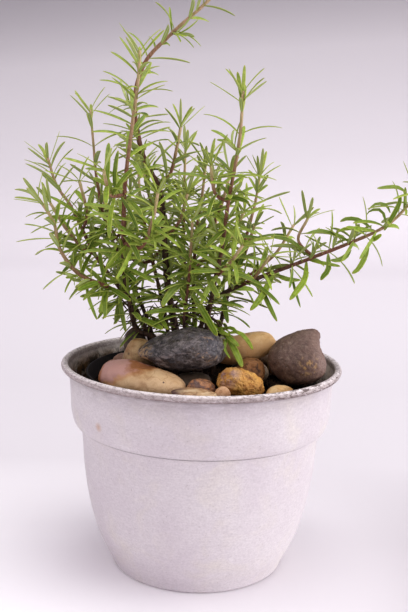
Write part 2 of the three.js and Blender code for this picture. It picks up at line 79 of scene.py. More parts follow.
# Inner pot
LINER = {
    "rim_height": 127, "rim": 74.5, "base": 51, "body_top": 71.8, "lip": 9, "foot_round": 2,
    "wall": 1, "sides": 120,
}
GAP = 0.3  # between pieces

# Soil, with loose crumbs on it
SOIL_EDGE = 118
SOIL_CROWN = 120
SOIL_RINGS = 40
SOIL_SIDES = 96
SOIL_SUNK = 0.7
CRUMBS = 700
CRUMB_SEED = 77
CRUMBS_OFF_WALL = 2.5

# Stems and leaves: the rules of the solid model
ROOT_DEPTH = 10
TUBE_STEP = 17
TUBE_THINNING = 0.8
BRANCH_BARE = 9
BRANCH_TURN = 35
LEAF = {
    "length": 26, "width": 2.8, "steps": 6, "pitch": 60, "bend": 14, "droop": 0.04,
    "young_from": 0.5, "young_power": 2, "young_length": -0.34, "young_pitch": -34, "young_bend": -6,
    "shortest": 0.84, "longer": 0.3, "turn_spread": 26, "pitch_spread": 20, "bend_more": 24,
    "droop_more": 0.3,
}
WHORL_SPACING = 12.9
WHORL_CROWDING = 0.93
WHORL_TURN = 90
LAST_WHORL = 0.995
FINE_WIDTH = 3.3  # of the finished leaves, which are wider and thinner than the solid ones

# How the solid model's paired leaves and the extra ones look for room: their width, how far
# they keep from leaves of their own stem and of others (under 0, they may overlap), and their
# tries as (turn, pitch, share of the length)
PAIRED = {
    "width": LEAF["width"], "own": 0.1, "others": 0.8,
    "tries": [
        (0, 0, 1), (17, 0, 1), (-17, 0, 1), (0, -16, 1), (34, -5, 0.95), (-34, -5, 0.95),
        (0, -28, 0.85), (52, -8, 0.8), (-52, -8, 0.8), (0, 15, 0.7), (0, -34, 0.55),
    ],
}
EXTRA = {
    "width": 2.4, "own": -0.3, "others": -0.1,
    "tries": [
        (0, 0, 1), (25, 0, 1), (-25, 0, 1), (0, -20, 0.9), (45, -10, 0.85), (-45, -10, 0.85), (0, -30, 0.7),
    ],
}
FOLIAGE_FLOOR = 162  # only extra leaves and hanging blades reach below this
RIM_CLEAR = 138  # the lowest that an extra leaf reaches
STONE_CLEAR = 1.2  # between a stone and an extra leaf
STONE_REACH = 12  # how far a stone is searched for
LEAF_REACH = 20  # what is further off than this isn't in a leaf's way
STEM_STEP = 3  # between the points that stand for a stem
MOST_TAKEN = 60000  # points

# Extra leaves, which only the finished plant has: more pairs along the shoots, tufts on short
# side shoots where the pairs stand, a tuft at each tip, and drooping leaves on the old wood below
FILL_SPACING = 6.8
FILL_BELOW = 34
BRANCH_FILL_BELOW = 5
SPARSE_FROM = 0.5  # share of a shoot above which it is airy
SPARSE_SKIP = 0.5
RECURVED = "stem_right_low"  # its extra leaves arch back, and it is leafy up to the tip
RECURVED_PITCH = 112
RECURVED_FROM = 0.3  # share of a shoot
THIN_BRANCHES = ("stem_right_low", "stem_back_right")  # stems whose branches have no extra leaves
TUFT_LEAVES = 5
TUFT_CHANCE = 0.6
TUFTS_TO = [0.75, 0.4]  # share of a stem and of a branch up to which it has tufts
TIP_LEAVES = 4
BRANCH_TIP_LEAVES = 2
SPIRAL_TURN = 137  # degrees, between the leaves of a tuft
TUFT_AXIS = (0.75, 0.66)  # how far a tuft leans along and away from its shoot
TUFT_STEP = 1.2
LOWEST_SIDE = -0.3  # no extra leaf starts out more steeply down than this, above the old wood
LAST_EXTRA = 0.996  # share of a shoot, of the last extra pair
FIRST_EXTRA_WHORL = 1000

# Added to a stem's seed: for its extra leaves, the twist and tone of its leaves, and its wood
FILL_SEED = 7000
TWIST_SEED = 4000
WOOD_SEED = 900

# A leaf's section as (across, up, under, rib, edge): convex above with a middle groove,
# edges rolled under, and a raised rib below
SECTION = [
    (-1.0, 0.00, 0, 0, 1), (-0.86, 0.34, 0, 0, 0.6), (-0.42, 0.46, 0, 0, 0), (0.0, 0.18, 0, 0.5, 0),
    (0.42, 0.46, 0, 0, 0), (0.86, 0.34, 0, 0, 0.6), (1.0, 0.00, 0, 0, 1), (0.78, -0.24, 0.6, 0, 1),
    (0.46, 0.02, 1, 0, 0), (0.0, -0.26, 1, 1, 0), (-0.46, 0.02, 1, 0, 0), (-0.78, -0.24, 0.6, 0, 1),
]
# A leaf's rings, as places along it and shares of its width
LEAF_RINGS = [
    (0.0, 0.36), (0.06, 0.5), (0.16, 0.74), (0.32, 0.94), (0.5, 1.0), (0.68, 0.97), (0.83, 0.84),
    (0.93, 0.62), (0.985, 0.3),
]
LEAF_DEPTH = 0.62  # of the section's up values, in half widths

# Wood: the sides and ring spacing of its tubes, and the short dead twigs at each stem's foot
WOOD_SIDES = 12
WOOD_STEP = 2.2
KNOT = 0.14  # share of the thickness
DRY_TWIGS = 9
DRY_TWIG_RADII = (0.42, 0.22)

# Stems: name, seed, thickness at foot and tip, bare length, first turn, points to the tip,
# and branches as (height on the stem, thickness, points)
STEMS = [
    ("stem_front_tall", 11, (2.1, 0.8), 66, 20,
     [(-17, -3), (-31, 2, 146), (-42, 2, 151), (-46, -1, 164), (-50, -13, 193), (-48, -38, 240),
      (-43, -54, 276), (-39, -63, 302), (-38, -67, 318)],
     [(196, (1.2, 0.9), [(-38, -34, 209), (-31, -42, 226), (-28, -46, 242)]),
      (228, (1.1, 0.9), [(-55, -50, 240), (-58, -58, 254)])]),
    ("stem_right_upright", 23, (1.8, 0.8), 64, 85,
     [(3, -2), (2, -7, 150), (6, -14, 183), (10, -21, 206), (13, -29, 236), (18, -39, 272),
      (19, -46, 300)],
     [(190, (1.1, 0.9), [(15, -34, 201), (22, -46, 213)]),
      (226, (1.0, 0.9), [(5, -33, 242), (2, -38, 258)])]),
    ("stem_right_low", 37, (1.9, 0.8), 62, 70,
     [(-1, 8), (-2, 6, 150), (6, 6, 171), (25, 4, 183), (66, 0, 201), (91, -2, 212),
      (112, -4, 223), (125, -5, 236), (134, -6, 251)],
     [(181, (1.1, 0.9), [(32, -8, 190), (40, -16, 204)]),
      (196, (1.0, 0.9), [(60, 10, 212), (66, 14, 226)])]),
    ("stem_left", 41, (1.9, 0.8), 74, 15,
     [(-22, 6), (-36, 9, 148), (-47, 10, 168), (-62, 14, 185), (-74, 18, 201), (-88, 21, 228),
      (-98, 22, 242), (-104, 22, 260)],
     [(171, (1.4, 0.9), [(-62, -12, 182), (-78, -18, 190), (-89, -19, 205), (-93, -18, 221),
                         (-103, -16, 236)]),
      (193, (1.1, 0.9), [(-78, 2, 204), (-88, -2, 216), (-98, -2, 232)]),
      (210, (1.0, 0.9), [(-76, 6, 226), (-80, 0, 246)])]),
    ("stem_left_back", 53, (1.5, 0.7), 76, 5,
     [(-27, 13), (-34, 17, 147), (-47, 22, 178), (-65, 28, 214), (-73, 32, 245), (-76, 34, 271),
      (-78, 34, 292)],
     [(200, (1.0, 0.9), [(-54, 40, 216), (-52, 46, 238)])]),
    ("stem_back_tall", 67, (2.7, 0.8), 66, 80,
     [(-12, 12), (-17, 8, 146), (-23, 11, 175), (-27, 14, 210), (-30, 16, 240), (-42, 19, 264),
      (-48, 22, 295), (-42, 22, 321), (-25, 22, 340), (-4, 22, 359), (8, 22, 373), (14, 22, 386)],
     [(205, (1.1, 0.9), [(-17, 6, 222), (-12, 2, 240)]),
      (236, (1.2, 0.9), [(-24, 22, 252), (-20, 24, 270), (-18, 24, 282)]),
      (215, (1.1, 0.9), [(-36, 30, 230), (-42, 38, 252)])]),
    ("stem_centre", 71, (1.1, 0.8), 60, 60,
     [(-8, -6), (-12, -10, 160), (-10, -14, 182), (-9, -17, 200), (-8, -20, 226)],
     []),
    ("stem_centre_back", 83, (1.7, 0.8), 62, 40,
     [(-3, 20), (-7, 22, 175), (-6, 26, 214), (-3, 29, 238), (-1, 30, 260)],
     [(208, (1.1, 0.9), [(6, 26, 222), (12, 24, 240), (15, 24, 254)]),
      (188, (1.1, 0.9), [(8, 14, 202), (18, 6, 216), (24, 2, 230)])]),
    ("stem_back_left", 97, (1.7, 0.8), 60, 0,
     [(-19, 20), (-27, 34, 160), (-38, 50, 198), (-46, 62, 232), (-49, 69, 258)],
     [(180, (1.1, 0.9), [(-48, 42, 192), (-64, 46, 212), (-72, 50, 236)]),
      (190, (1.1, 0.9), [(-30, 64, 202), (-24, 78, 222)])]),
    ("stem_back", 101, (1.7, 0.8), 60, 50,
     [(-10, 27), (-12, 43, 162), (-15, 60, 202), (-16, 72, 240), (-16, 78, 270)],
     [(176, (1.1, 0.9), [(-2, 62, 190), (6, 76, 212), (10, 82, 232)])]),
    ("stem_back_right", 113, (1.7, 0.8), 58, 25,
     [(7, 18), (14, 33, 162), (25, 47, 198), (33, 57, 228), (37, 62, 252)],
     [(172, (1.1, 0.9), [(32, 36, 186), (48, 38, 200), (60, 40, 220)]),
      (184, (1.1, 0.9), [(26, 28, 198), (32, 20, 220)])]),
]

TOWARDS_VIEWER = np.array([0.3, -1.0, 0.5])  # the way that the hanging blades face
# Single blades that hang in front of the stones and the old wood, by stem: width, and points
# from the stem to the tip
HANGING = {
    "stem_centre": [
        (4.4, [(-8.5, -13, 181), (-0.2, -21, 169.2), (5.6, -30, 161), (8.7, -38, 157.1)]),
        (4.6, [(-10.7, -15, 186.8), (-17.7, -24, 183.5), (-23.4, -30, 176.8), (-24.7, -32, 172.8)]),
        (3.4, [(-11, -11, 167.2), (-23.8, -18, 168.6), (-35.9, -22, 167.1)]),
        (3, [(-11, -11, 167.2), (-3.9, -18, 169.2), (3, -22, 166.9)]),
    ],
    "stem_right_upright": [
        (4.2, [(2.4, -14, 190.9), (4.6, -26, 186.3), (9.2, -34, 179.6)]),
        (2.8, [(10.2, -15, 158.5), (11.4, -24, 157.5), (16.3, -27, 155.5)]),
        (3.6, [(12.5, -18.5, 156), (17.3, -27, 153.4), (22.5, -31, 149.5)]),
        (4.6, [(15.4, -22.5, 153.4), (19.6, -29, 147.5), (22.6, -34, 142.3), (24.5, -37, 138)]),
        (2.8, [(14, -20.5, 155), (21.9, -24, 157.2), (27.4, -27, 153), (31.1, -30, 147.6)]),
        (2.4, [(11.4, -17, 157.1), (17.5, -21.5, 159.2), (21.6, -25, 156.6)]),
        (2.4, [(15.4, -22.5, 153.4), (13.4, -33, 149), (17, -39, 143.6)]),
    ],
    "stem_front_tall": [
        (4.2, [(-44, -1, 161.2), (-33.3, -14, 159.9), (-24.4, -26, 158)]),
    ],
    "stem_back_tall": [
        (3.6, [(-20, 6, 168), (-27.1, -6, 163.7), (-24.2, -18, 160), (-21.4, -24, 157.3)]),
    ],
    "stem_left": [
        (2.4, [(-73.4, -15, 184.5), (-71, -19, 174.4), (-65.8, -20, 161.5)]),
        (2.2, [(-52, 9, 171.5), (-62, 0, 166.4), (-67, -9, 160)]),
        (3.6, [(-54, 10, 173), (-55.1, 2, 164), (-56.4, 0, 155.5)]),
        (4.2, [(-61, -11, 181), (-62.1, -15, 172.1), (-64.8, -16, 165)]),
        (4, [(-64, -12, 184), (-69.4, -22, 184), (-76.8, -28, 181)]),
    ],
    "stem_right_low": [
        (3.6, [(13.2, 5, 176.5), (13.8, -4, 168), (15.9, -8, 159.5)]),
        (4.4, [(45, 2, 191), (36, -6, 176), (29.5, -10, 168.5)]),
        (3.4, [(34.1, 4, 186.5), (41.1, -4, 172.5), (47, -8, 161.5)]),
        (3, [(64, 4, 203), (58, 0, 210), (50, -3, 214), (41, -5, 215)]),
        (3, [(91, -3, 213), (83, -8, 217), (72, -10, 220), (62, -12, 218)]),
        (2.8, [(104, -4, 222), (96, -8, 227), (88, -10, 228), (83, -11, 226)]),
        (2.6, [(106, -4, 220), (96, -10, 222), (87, -13, 222), (81, -15, 220)]),
        (2.4, [(113, -5, 225), (110, -3, 233), (104, 0, 233), (101, 2, 229)]),
        (3.2, [(112, -5, 221), (115, -10, 229), (118, -13, 237), (119, -14, 243)]),
        (2.4, [(115, -5, 232), (112, -4, 237), (106, -2, 237), (102, 0, 233)]),
        (2.8, [(124, -6, 245), (118, -8, 248), (112, -9, 248), (105, -9, 247)]),
        (3.4, [(103, -4, 213), (100, -9, 204), (96, -11, 197), (92, -12, 194)]),
        (3.6, [(78, -2, 205), (78, -7, 196), (75, -9, 192), (73, -10, 189)]),
        (3.4, [(92, -3, 208), (88, -8, 204), (83, -11, 202), (78, -13, 202)]),
        (4, [(65, 2, 199), (64, -4, 189), (59, -8, 182), (54, -11, 176)]),
        (2, [(55, 4, 194), (58, 0, 182), (62, -3, 170)]),
        (2.6, [(67, 2, 200), (77, -5, 199), (85, -9, 198)]),
        (3.6, [(46, 4, 190), (53, -2, 188), (61, -6, 188)]),
        (2.8, [(104, -4, 214), (106, -9, 216), (109, -12, 219)]),
    ],
}

# Bare twigs on the old wood, by stem: thickness at each end, and points
TWIGS = {
    "stem_right_upright": [
        ((0.9, 0.6), [(2.5, -7.5, 164), (8.2, -13, 161.5), (12, -18, 156.7), (15.8, -23, 153.2)]),
        ((0.5, 0.3), [(2.2, -8, 158), (6.4, -18, 157), (10.2, -22, 156.6), (16.3, -20, 158.9)]),
    ],
    "stem_left": [
        ((0.5, 0.3), [(-54.5, 2, 170.9), (-50, -4, 167.4), (-45.9, -6, 162.7), (-46.2, -6, 156.2)]),
        ((0.5, 0.3), [(-42, 9.5, 158), (-52, 5, 156), (-58, 0, 159)]),
    ],
    "stem_front_tall": [
        ((0.5, 0.3), [(-53.7, 0, 172.5), (-48.8, -4, 168.7), (-46, -1.5, 163.6)]),
        ((0.5, 0.3), [(-40, 2, 152), (-33, -4, 156), (-31, -7, 161)]),
    ],
    "stem_back_tall": [
        ((0.45, 0.3), [(-20, 6, 164), (-22.8, -14, 160.4), (-17.2, -22, 159.5)]),
    ],
    "stem_centre": [
        ((0.45, 0.25), [(-11, -11, 166), (-5.1, -14, 163.7), (-3.7, -16, 162), (-6.2, -16, 160.8)]),
        ((0.45, 0.25), [(-11, -10, 162), (-17.5, -15, 166), (-21, -16, 170)]),
    ],
}

# Stones: for each solid, its material slot, its three main colours, how large its patches are
# (per metre), and how rough its surface is (mm)
STONES = {
    "stone_base_middle": ("stone_brown", "#6d5f50", "#51443a", "#8a7967", 60, 0.5),
    "stone_base_left": ("stone_pink", "#b48a78", "#a9745c", "#c9a58c", 60, 0.5),
    "stone_base_side": ("stone_tan", "#8a7660", "#6c5a47", "#a38d73", 60, 0.5),
    "stone_base_right": ("stone_tan", "#95826a", "#7a6852", "#b09c81", 60, 0.5),
    "stone_base_edge": ("stone_brown", "#7c6650", "#5d4a38", "#937c63", 60, 0.5),
    "stone_pink_tan": ("stone_pink", "#c6a37c", "#b18b65", "#d4b791", 60, 0.5),
    "stone_slab": ("stone_tan", "#b08a66", "#7d5a44", "#cfae86", 90, 0.4),
    "stone_mottled": ("stone_pink", "#a0724e", "#6b5450", "#b98660", 140, 1.0),
    "stone_knob": ("stone_tan", "#c0926a", "#9c6f4a", "#dcb896", 120, 0.4),
    "stone_ochre": ("stone_ochre", "#b9833f", "#94612d", "#d2a45b", 110, 1.6),
    "stone_small_tan": ("stone_tan", "#d0a268", "#b2854f", "#e4c798", 90, 0.7),
    "stone_umber": ("stone_brown", "#875c38", "#5c3c26", "#a5774a", 120, 0.9),
    "stone_dark": ("stone_dark", "#463f3c", "#2a2728", "#645c58", 120, 1.0),
    "stone_oval": ("stone_tan", "#a98862", "#876840", "#bfa47c", 90, 0.6),
    "stone_brown_small": ("stone_brown", "#5f5148", "#463a34", "#7d6b5e", 110, 0.6),
    "stone_long_tan": ("stone_tan", "#e8bc84", "#d1a66e", "#f2d19e", 60, 0.4),
    "stone_brown": ("stone_brown", "#614c43", "#493933", "#776056", 110, 0.6),
    "stone_back_tan": ("stone_tan", "#a88a62", "#8d7049", "#c2a67d", 60, 0.5),
    "stone_back_left": ("stone_pink", "#a98674", "#8f6a58", "#c4a08c", 60, 0.5),
    "stone_back_grey": ("stone_dark", "#77726c", "#5d5954", "#928d86", 60, 0.5),
    "stone_back_pale": ("stone_tan", "#b9a48a", "#9d876b", "#d2c0a6", 60, 0.4),
    "stone_back_umber": ("stone_brown", "#6c5443", "#513c2e", "#86705c", 60, 0.5),
    "stone_back_right": ("stone_tan", "#a3875f", "#876b45", "#bda37b", 60, 0.5),
    "stone_back_small": ("stone_brown", "#8d6f52", "#6f543b", "#a88a6c", 60, 0.5),
}

# Small dents in the stones: node, place (mm), radius and depth
DENTS = [
    ("stone_brown", (74.5, -27, 149.5), 9, 3.2),
    ("stone_ochre", (18.2, -58, 126.5), 3.4, 2),
    ("stone_ochre", (30, -56, 136), 8, 1.6),
    ("stone_dark", (-26, -40, 156), 14, 2.6),
    ("stone_dark", (-34, -34, 134), 12, 2.4),
    ("stone_oval", (-45, -22, 141), 2.4, 1),
    ("stone_pink_tan", (-50, -40, 136.5), 1.6, 1),
    ("stone_pink_tan", (-58, -45, 130), 1.6, 1),
    ("stone_pink_tan", (-34, -42, 140), 7, 1.4),
    ("stone_pink_tan", (-52, -49, 131), 6, 0.8),
    ("stone_pink_tan", (-46, -51.5, 133.5), 6, 0.9),
    ("stone_pink_tan", (-40, -52.5, 135.5), 6, 0.9),
    ("stone_pink_tan", (-34, -52.5, 136.5), 6, 0.8),
    ("stone_umber", (31, -36, 137), 5, 1.5),
]

# Noises as (grain, size): of the stones, of the coarse stones' turbulence, and of old wood
STONE_NOISES = [(0.09, 0.9), (0.28, 0.45), (0.9, 0.16)]
COARSE_NOISE = (0.35, 0.5)
WOOD_NOISES = [(0.4, 0.4), (1.2, 0.32)]

# Floor and backdrop (m)
FLOOR_SIZE = 6.0
BACKDROP_PLACE = 1.6
BACKDROP_TURN = 0.9  # radius of the sweep from floor to backdrop
BACKDROP_STEPS = 16

# Lights: name, place and aim (m), width and height (m), power (W)
LIGHTS = [
    ("key", (1.8, -0.35, 0.3), (0, 0, 0.15), (1.8, 0.5), 20.5),
    ("fill", (-1.5, -1.4, 1.0), (0, 0, 0.2), (1.8, 1.8), 3),
    ("top", (0.2, 0.1, 2.2), (0, 0, 0.1), (1.4, 1.4), 19),
]
WORLD_STRENGTH = 0.81
WORLD_COLOUR = "#f2ecf2"


def placed(name, data):
    """A new object in the scene."""
    thing = bpy.data.objects.new(name, data)
    bpy.context.scene.collection.objects.link(thing)
    return thing


def set_camera():
    data = bpy.data.cameras.new("camera")
    data.lens = CAMERA_LENS
    data.sensor_width = CAMERA_SENSOR
    camera = placed("camera", data)
    place = Vector(CAMERA_PLACE) * MM
    way = Vector(CAMERA_AIM) * MM - place
    facing = way.to_track_quat("-Z", "Y").to_matrix().to_4x4()
    roll = Matrix.Rotation(math.radians(CAMERA_ROLL), 4, "Z")
    camera.matrix_world = Matrix.Translation(place) @ facing @ roll
    bpy.context.scene.camera = camera


set_camera()


def seeded(seed):
    """Random numbers from 0 to 1, the same as the solid model's."""
    state = seed

    def draw():
        nonlocal state
        state = (state * 16807) % 2147483647
        return state / 2147483647

    return draw


def linear(hex_colour):
    """A colour given as #rrggbb, in the linear values that shaders take."""
    parts = [int(hex_colour[i:i + 2], 16) / 255 for i in (1, 3, 5)]
    return tuple(c / 12.92 if c <= 0.04045 else ((c + 0.055) / 1.055) ** 2.4 for c in parts) + (1.0,)


class Material:
    """A Principled material, its colour so far, and short calls that add nodes to it."""

    def __init__(self, name, roughness, specular):
        self.material = bpy.data.materials.new(name)
        self.material.use_nodes = True
        self.tree = self.material.node_tree
        self.shader = self.tree.nodes["Principled BSDF"]
        self.shader.inputs["Roughness"].default_value = roughness
        self.shader.inputs["Specular IOR Level"].default_value = specular
        self.place = self.tree.nodes.new("ShaderNodeTexCoord").outputs["Object"]
        self.colour = None

    def set(self, socket, value):
        """Links a socket to another, or sets its value; a colour may be given as #rrggbb."""
        if isinstance(value, bpy.types.NodeSocket):
            self.tree.links.new(value, socket)
        else:
            socket.default_value = linear(value) if isinstance(value, str) else value

    def node(self, kind, inputs, **settings):
        node = self.tree.nodes.new("ShaderNode" + kind)
        for key, value in settings.items():
            setattr(node, key, value)
        for key, value in inputs.items():
            self.set(node.inputs[key], value)
        return node

    def noise(self, scale, detail=3.0, roughness=0.55, distortion=0.0, place=None):
        inputs = {
            "Scale": scale, "Detail": detail, "Roughness": roughness, "Distortion": distortion,
            "Vector": place or self.place,
        }
        return self.node("TexNoise", inputs).outputs["Fac"]

    def range(self, value, low, high, to_low=0.0, to_high=1.0):
        inputs = {"Value": value, "From Min": low, "From Max": high, "To Min": to_low, "To Max": to_high}
        return self.node("MapRange", inputs).outputs["Result"]

    def spots(self, grain, low, high, top=1.0):
        """Rises from 0 to top where a noise with the given values goes from low to high."""
        return self.range(self.noise(*grain), low, high, 0, top)

    def cells(self, scale, feature="F1", place=None):
        inputs = {"Scale": scale, "Vector": place or self.place}
        return self.node("TexVoronoi", inputs, feature=feature).outputs["Distance"]

    def cracks(self, scale, wander, amount, width, top=1):
        """Thin lines between cells, which a finer noise makes wander."""
        edges = self.cells(scale, "DISTANCE_TO_EDGE", self.warped(wander, amount))
        return self.range(edges, 0.0, width, top, 0)

    def warped(self, scale, amount):
        """The place moved by a noise."""
        moved = self.node("TexNoise", {"Scale": scale, "Vector": self.place}).outputs["Color"]
        inputs = {0: moved, 1: (amount, amount, amount), 2: self.place}
        return self.node("VectorMath", inputs, operation="MULTIPLY_ADD").outputs[0]

    def stretched(self, *scale):
        """The place with each axis scaled, for grain that runs one way."""
        return self.node("Mapping", {"Scale": scale, "Vector": self.place}).outputs[0]

    def math(self, operation, a, b):
        return self.node("Math", {0: a, 1: b}, operation=operation).outputs[0]

    def times(self, first, *others):
        for other in others:
            first = self.math("MULTIPLY", first, other)
        return first

    def uneven(self, value, grain, amount):
        """A value moved up and down by a noise with the given values."""
        return self.math("ADD", value, self.range(self.noise(*grain), 0.3, 0.7, -amount, amount))

    def mix(self, share, a, b):
        return self.node("Mix", {"Factor": share, "A": a, "B": b}, data_type="RGBA").outputs["Result"]

    def tint(self, colour, *shares):
        """Mixes a colour into the colour so far, by the product of the shares."""
        self.colour = self.mix(self.times(*shares), self.colour, colour)

    def along(self, direction, low, high):
        """0 to 1 from one place to another along a direction, in millimetres."""
        dot = self.node("VectorMath", {0: self.place, 1: direction}, operation="DOT_PRODUCT")
        return self.range(dot.outputs["Value"], low * MM, high * MM)

    def near(self, place, radius):
        """1 at a place in millimetres, falling to 0 at a radius."""
        inputs = {0: self.place, 1: [c * MM for c in place]}
        distance = self.node("VectorMath", inputs, operation="DISTANCE").outputs["Value"]
        return self.range(distance, 0, radius * MM, 1, 0)

    def attribute(self, name):
        return self.node("Attribute", {}, attribute_name=name).outputs["Fac"]

    def bump(self, height, distance, strength=1.0, under=None):
        inputs = {"Height": height, "Distance": distance * MM, "Strength": strength}
        if under:
            inputs["Normal"] = under
        return self.node("Bump", inputs).outputs["Normal"]

    def finish(self, normal=None, roughness=None):
        for name, value in (("Base Color", self.colour), ("Normal", normal), ("Roughness", roughness)):
            if value:
                self.set(self.shader.inputs[name], value)
        return self.material


def pot_material():
    """Off-white paint, mottled and brushed, with specks, one brown stain, painted shade in the crease, and
    grime with painted shade under the rim.
    """
    m = Material("pot_enamel", 0.5, 0.35)
    level = m.node("SeparateXYZ", {0: m.place}).outputs["Z"]
    m.colour = m.mix(m.spots((22, 4), 0.35, 0.65), "#d1c9ce", "#dad4d6")
    m.tint("#dad2c4", m.spots((40, 4, 0.55, 0.6), 0.5, 0.72, 0.4))
    mottle = m.noise(820, 3, 0.6)
    m.tint("#a79da4", m.range(mottle, 0.34, 0.6, 0.26, 0))
    brushed = m.noise(900, 4, 0.75, 0.0, m.stretched(0.3, 0.3, 1))
    m.tint("#b0a7ab", m.range(brushed, 0.35, 0.65, 0, 0.28))
    m.tint("#8d7f7c", m.spots((800, 3, 0.6), 0.64, 0.72, 0.4))
    m.tint("#b98a5c", m.near((-59.6, -58.6, 104.6), 3.5), 0.6)
    # Grime and painted shade under the rim.
    m.tint("#6f6365", pot_grime_and_rim_shade(m, level))
    tint_rim(m, level)
    # Painted shade: a dark line along the crease.
    m.tint("#3d3433", m.attribute("crease"), m.range(m.noise(60, 3), 0.3, 0.6, 0.8, 1))
    tint_inside(m, level)
    normal = m.bump(brushed, 0.05, 0.5)
    normal = m.bump(mottle, 0.1, 0.35, normal)
    return m.finish(normal, m.range(m.noise(120, 3), 0.3, 0.7, 0.42, 0.62))


def pot_grime_and_rim_shade(m, level):
    """Grey grime and painted shade on the collar under the rim, thickest at the front and left: a painted
    shadow just under the bead that fades into grime further down.
    """
    wide = m.math("POWER", m.range(level, 0.114, 0.129), 1.6)
    # A tight dark band just under the bead: painted shadow of the bead, made patchy like the grime.
    bead_shadow_band = m.range(level, 0.1262, 0.1284, 0, 0.6)
    left = m.range(m.along((-0.8, -0.6, 0), -70, 50), 0, 1, 0.25, 1)
    patchy = m.range(m.noise(260, 5, 0.7, 0.5, m.stretched(0.4, 0.4, 1)), 0.32, 0.58, 0.4, 1)
    return m.times(m.math("MAXIMUM", m.times(wide, 0.55), bead_shadow_band), left, patchy)


def tint_rim(m, level):
    """Bare metal on the rolled rim: a bright crest, partly worn metal and partly a painted highlight,
    scuffs along it, and grime and painted shade beneath.
    """
    round_it = m.stretched(0.4, 0.4, 1)
    enamel = m.colour
    # Painted highlight: the crest of the bead is paler than the rest of it.
    m.colour = m.mix(m.range(level, 0.1322, 0.1331), "#b3a7a6", "#e8e0e0")
    # Grime and painted shade on the underside of the bead.
    m.tint("#786967", m.range(level, 0.1310, 0.1297, 0, 0.75))
    m.tint("#d9d0d4", m.spots((700, 4, 0.7, 0.3, round_it), 0.5, 0.64, 0.6))
    m.tint("#6a5d5b", m.spots((1100, 5, 0.8, 0.3, round_it), 0.48, 0.6, 0.6))
    right = m.along((0.75, -0.66, 0), 62, 88)
    m.tint("#4c3a36", right, m.spots((500, 5, 0.7, 0.6, round_it), 0.48, 0.58, 0.85))
    m.colour = m.mix(m.range(level, 0.1290, 0.1296), enamel, m.colour)


def tint_inside(m, level):
    """Dull warm grey inside, with brown stains low down at the left and a dark scratch."""
    enamel = m.colour
    m.colour = m.mix(m.spots((60, 5, 0.65), 0.35, 0.65), "#d8c5bd", "#fbefe8")
    m.tint("#6e615b", m.spots((190, 4, 0.7, 1.2, m.stretched(0.4, 0.4, 1)), 0.5, 0.64, 0.65))
    low = m.times(m.range(level, 0.130, 0.122), m.along((-1, 0.2, 0), 45, 75))
    m.tint("#80603c", low, m.spots((75, 5, 0.65, 0.8), 0.38, 0.52))
    m.tint("#2a211b", low, m.spots((130, 5, 0.7, 1.0), 0.5, 0.58))
    scratch = m.times(m.near((-79.5, 40, 123.1), 6), m.spots((300, 4), 0.46, 0.54))
    m.tint("#1d1613", m.range(scratch, 0.1, 0.4))
    m.colour = m.mix(m.attribute("inside"), enamel, m.colour)


def liner_material():
    m = Material("liner_plastic", 0.5, 0.4)
    m.colour = m.mix(m.spots((90, 5, 0.65, 0.4), 0.48, 0.68), "#0f0c0b", "#3a2b1d")
    return m.finish(m.bump(m.noise(400, 3), 0.1, 0.4))


def soil_material():
    m = Material("compost", 0.95, 0.2)
    m.colour = m.mix(m.spots((180, 5), 0.35, 0.65), "#1c1410", "#3d2c20")
    m.tint("#6a523b", m.spots((650, 2), 0.62, 0.68))
    return m.finish(m.bump(m.noise(500, 5, 0.7), 1.0, 0.8))


def bark_material():
    """Green or pink young bark, then red, then dark and fissured at the foot."""
    m = Material("bark", 0.7, 0.3)
    age = m.attribute("age")
    grain = m.noise(900, 5, 0.7, 0.3, m.stretched(1, 1, 0.22))
    streaks = m.range(grain, 0.35, 0.65)
    m.colour = m.mix(streaks, "#a8a868", "#cfae98")
    m.tint(m.mix(streaks, "#6b4334", "#9c7260"), m.range(age, 0.02, 0.3))
    m.tint(m.mix(m.range(grain, 0.35, 0.62), "#1f1613", "#6a5244"), m.range(age, 0.34, 0.6))
    return m.finish(m.bump(grain, 0.6, 1.0))


def leaf_material():
    """Green above with dusty patches that are partly a painted sheen, paler beneath, on the edges and along
    the rib.
    """
    m = Material("leaf", 0.45, 0.15)
    tone, youth, along, rib = [m.attribute(name) for name in ("tone", "youth", "along", "rib")]
    m.colour = m.mix(tone, "#3b5b02", "#9cb43a")
    # Dusty patches, partly a painted sheen in place of specular highlights.
    m.tint("#93a15e", m.spots((26, 3, 0.6), 0.46, 0.6), 0.5)
    m.tint("#b1ba5e", m.range(youth, 0.2, 1, 0, 0.65))
    m.tint("#385702", m.spots((420, 3), 0.35, 0.65, 0.5))
    m.tint("#b2c078", rib, 0.6)
    m.tint(m.mix(rib, m.mix(tone, "#8da35a", "#b2be86"), "#bcc48e"), m.attribute("under"))
    m.tint("#bac36a", m.attribute("edge"), 0.8)
    m.tint("#b3a54e", m.range(along, 0.93, 1.0, 0, 0.6))
    m.tint("#b3b66a", m.range(along, 0.0, 0.12, 0.5, 0))
    return m.finish(m.bump(m.noise(1500, 3), 0.08, 0.4))


def stone_base(m, main, dark, pale, patch):
    """A stone's main colour: wide patches, a finer mottle and specks."""
    m.colour = m.mix(m.spots((patch, 4, 0.6, 0.4), 0.35, 0.62), main, pale)
    m.tint(dark, m.spots((patch * 2.3, 4, 0.6, 0.8), 0.5, 0.68, 0.8))
    grain = m.noise(1400, 3, 0.7)
    m.tint(dark, m.range(grain, 0.35, 0.7, 0, 0.35))
    return grain


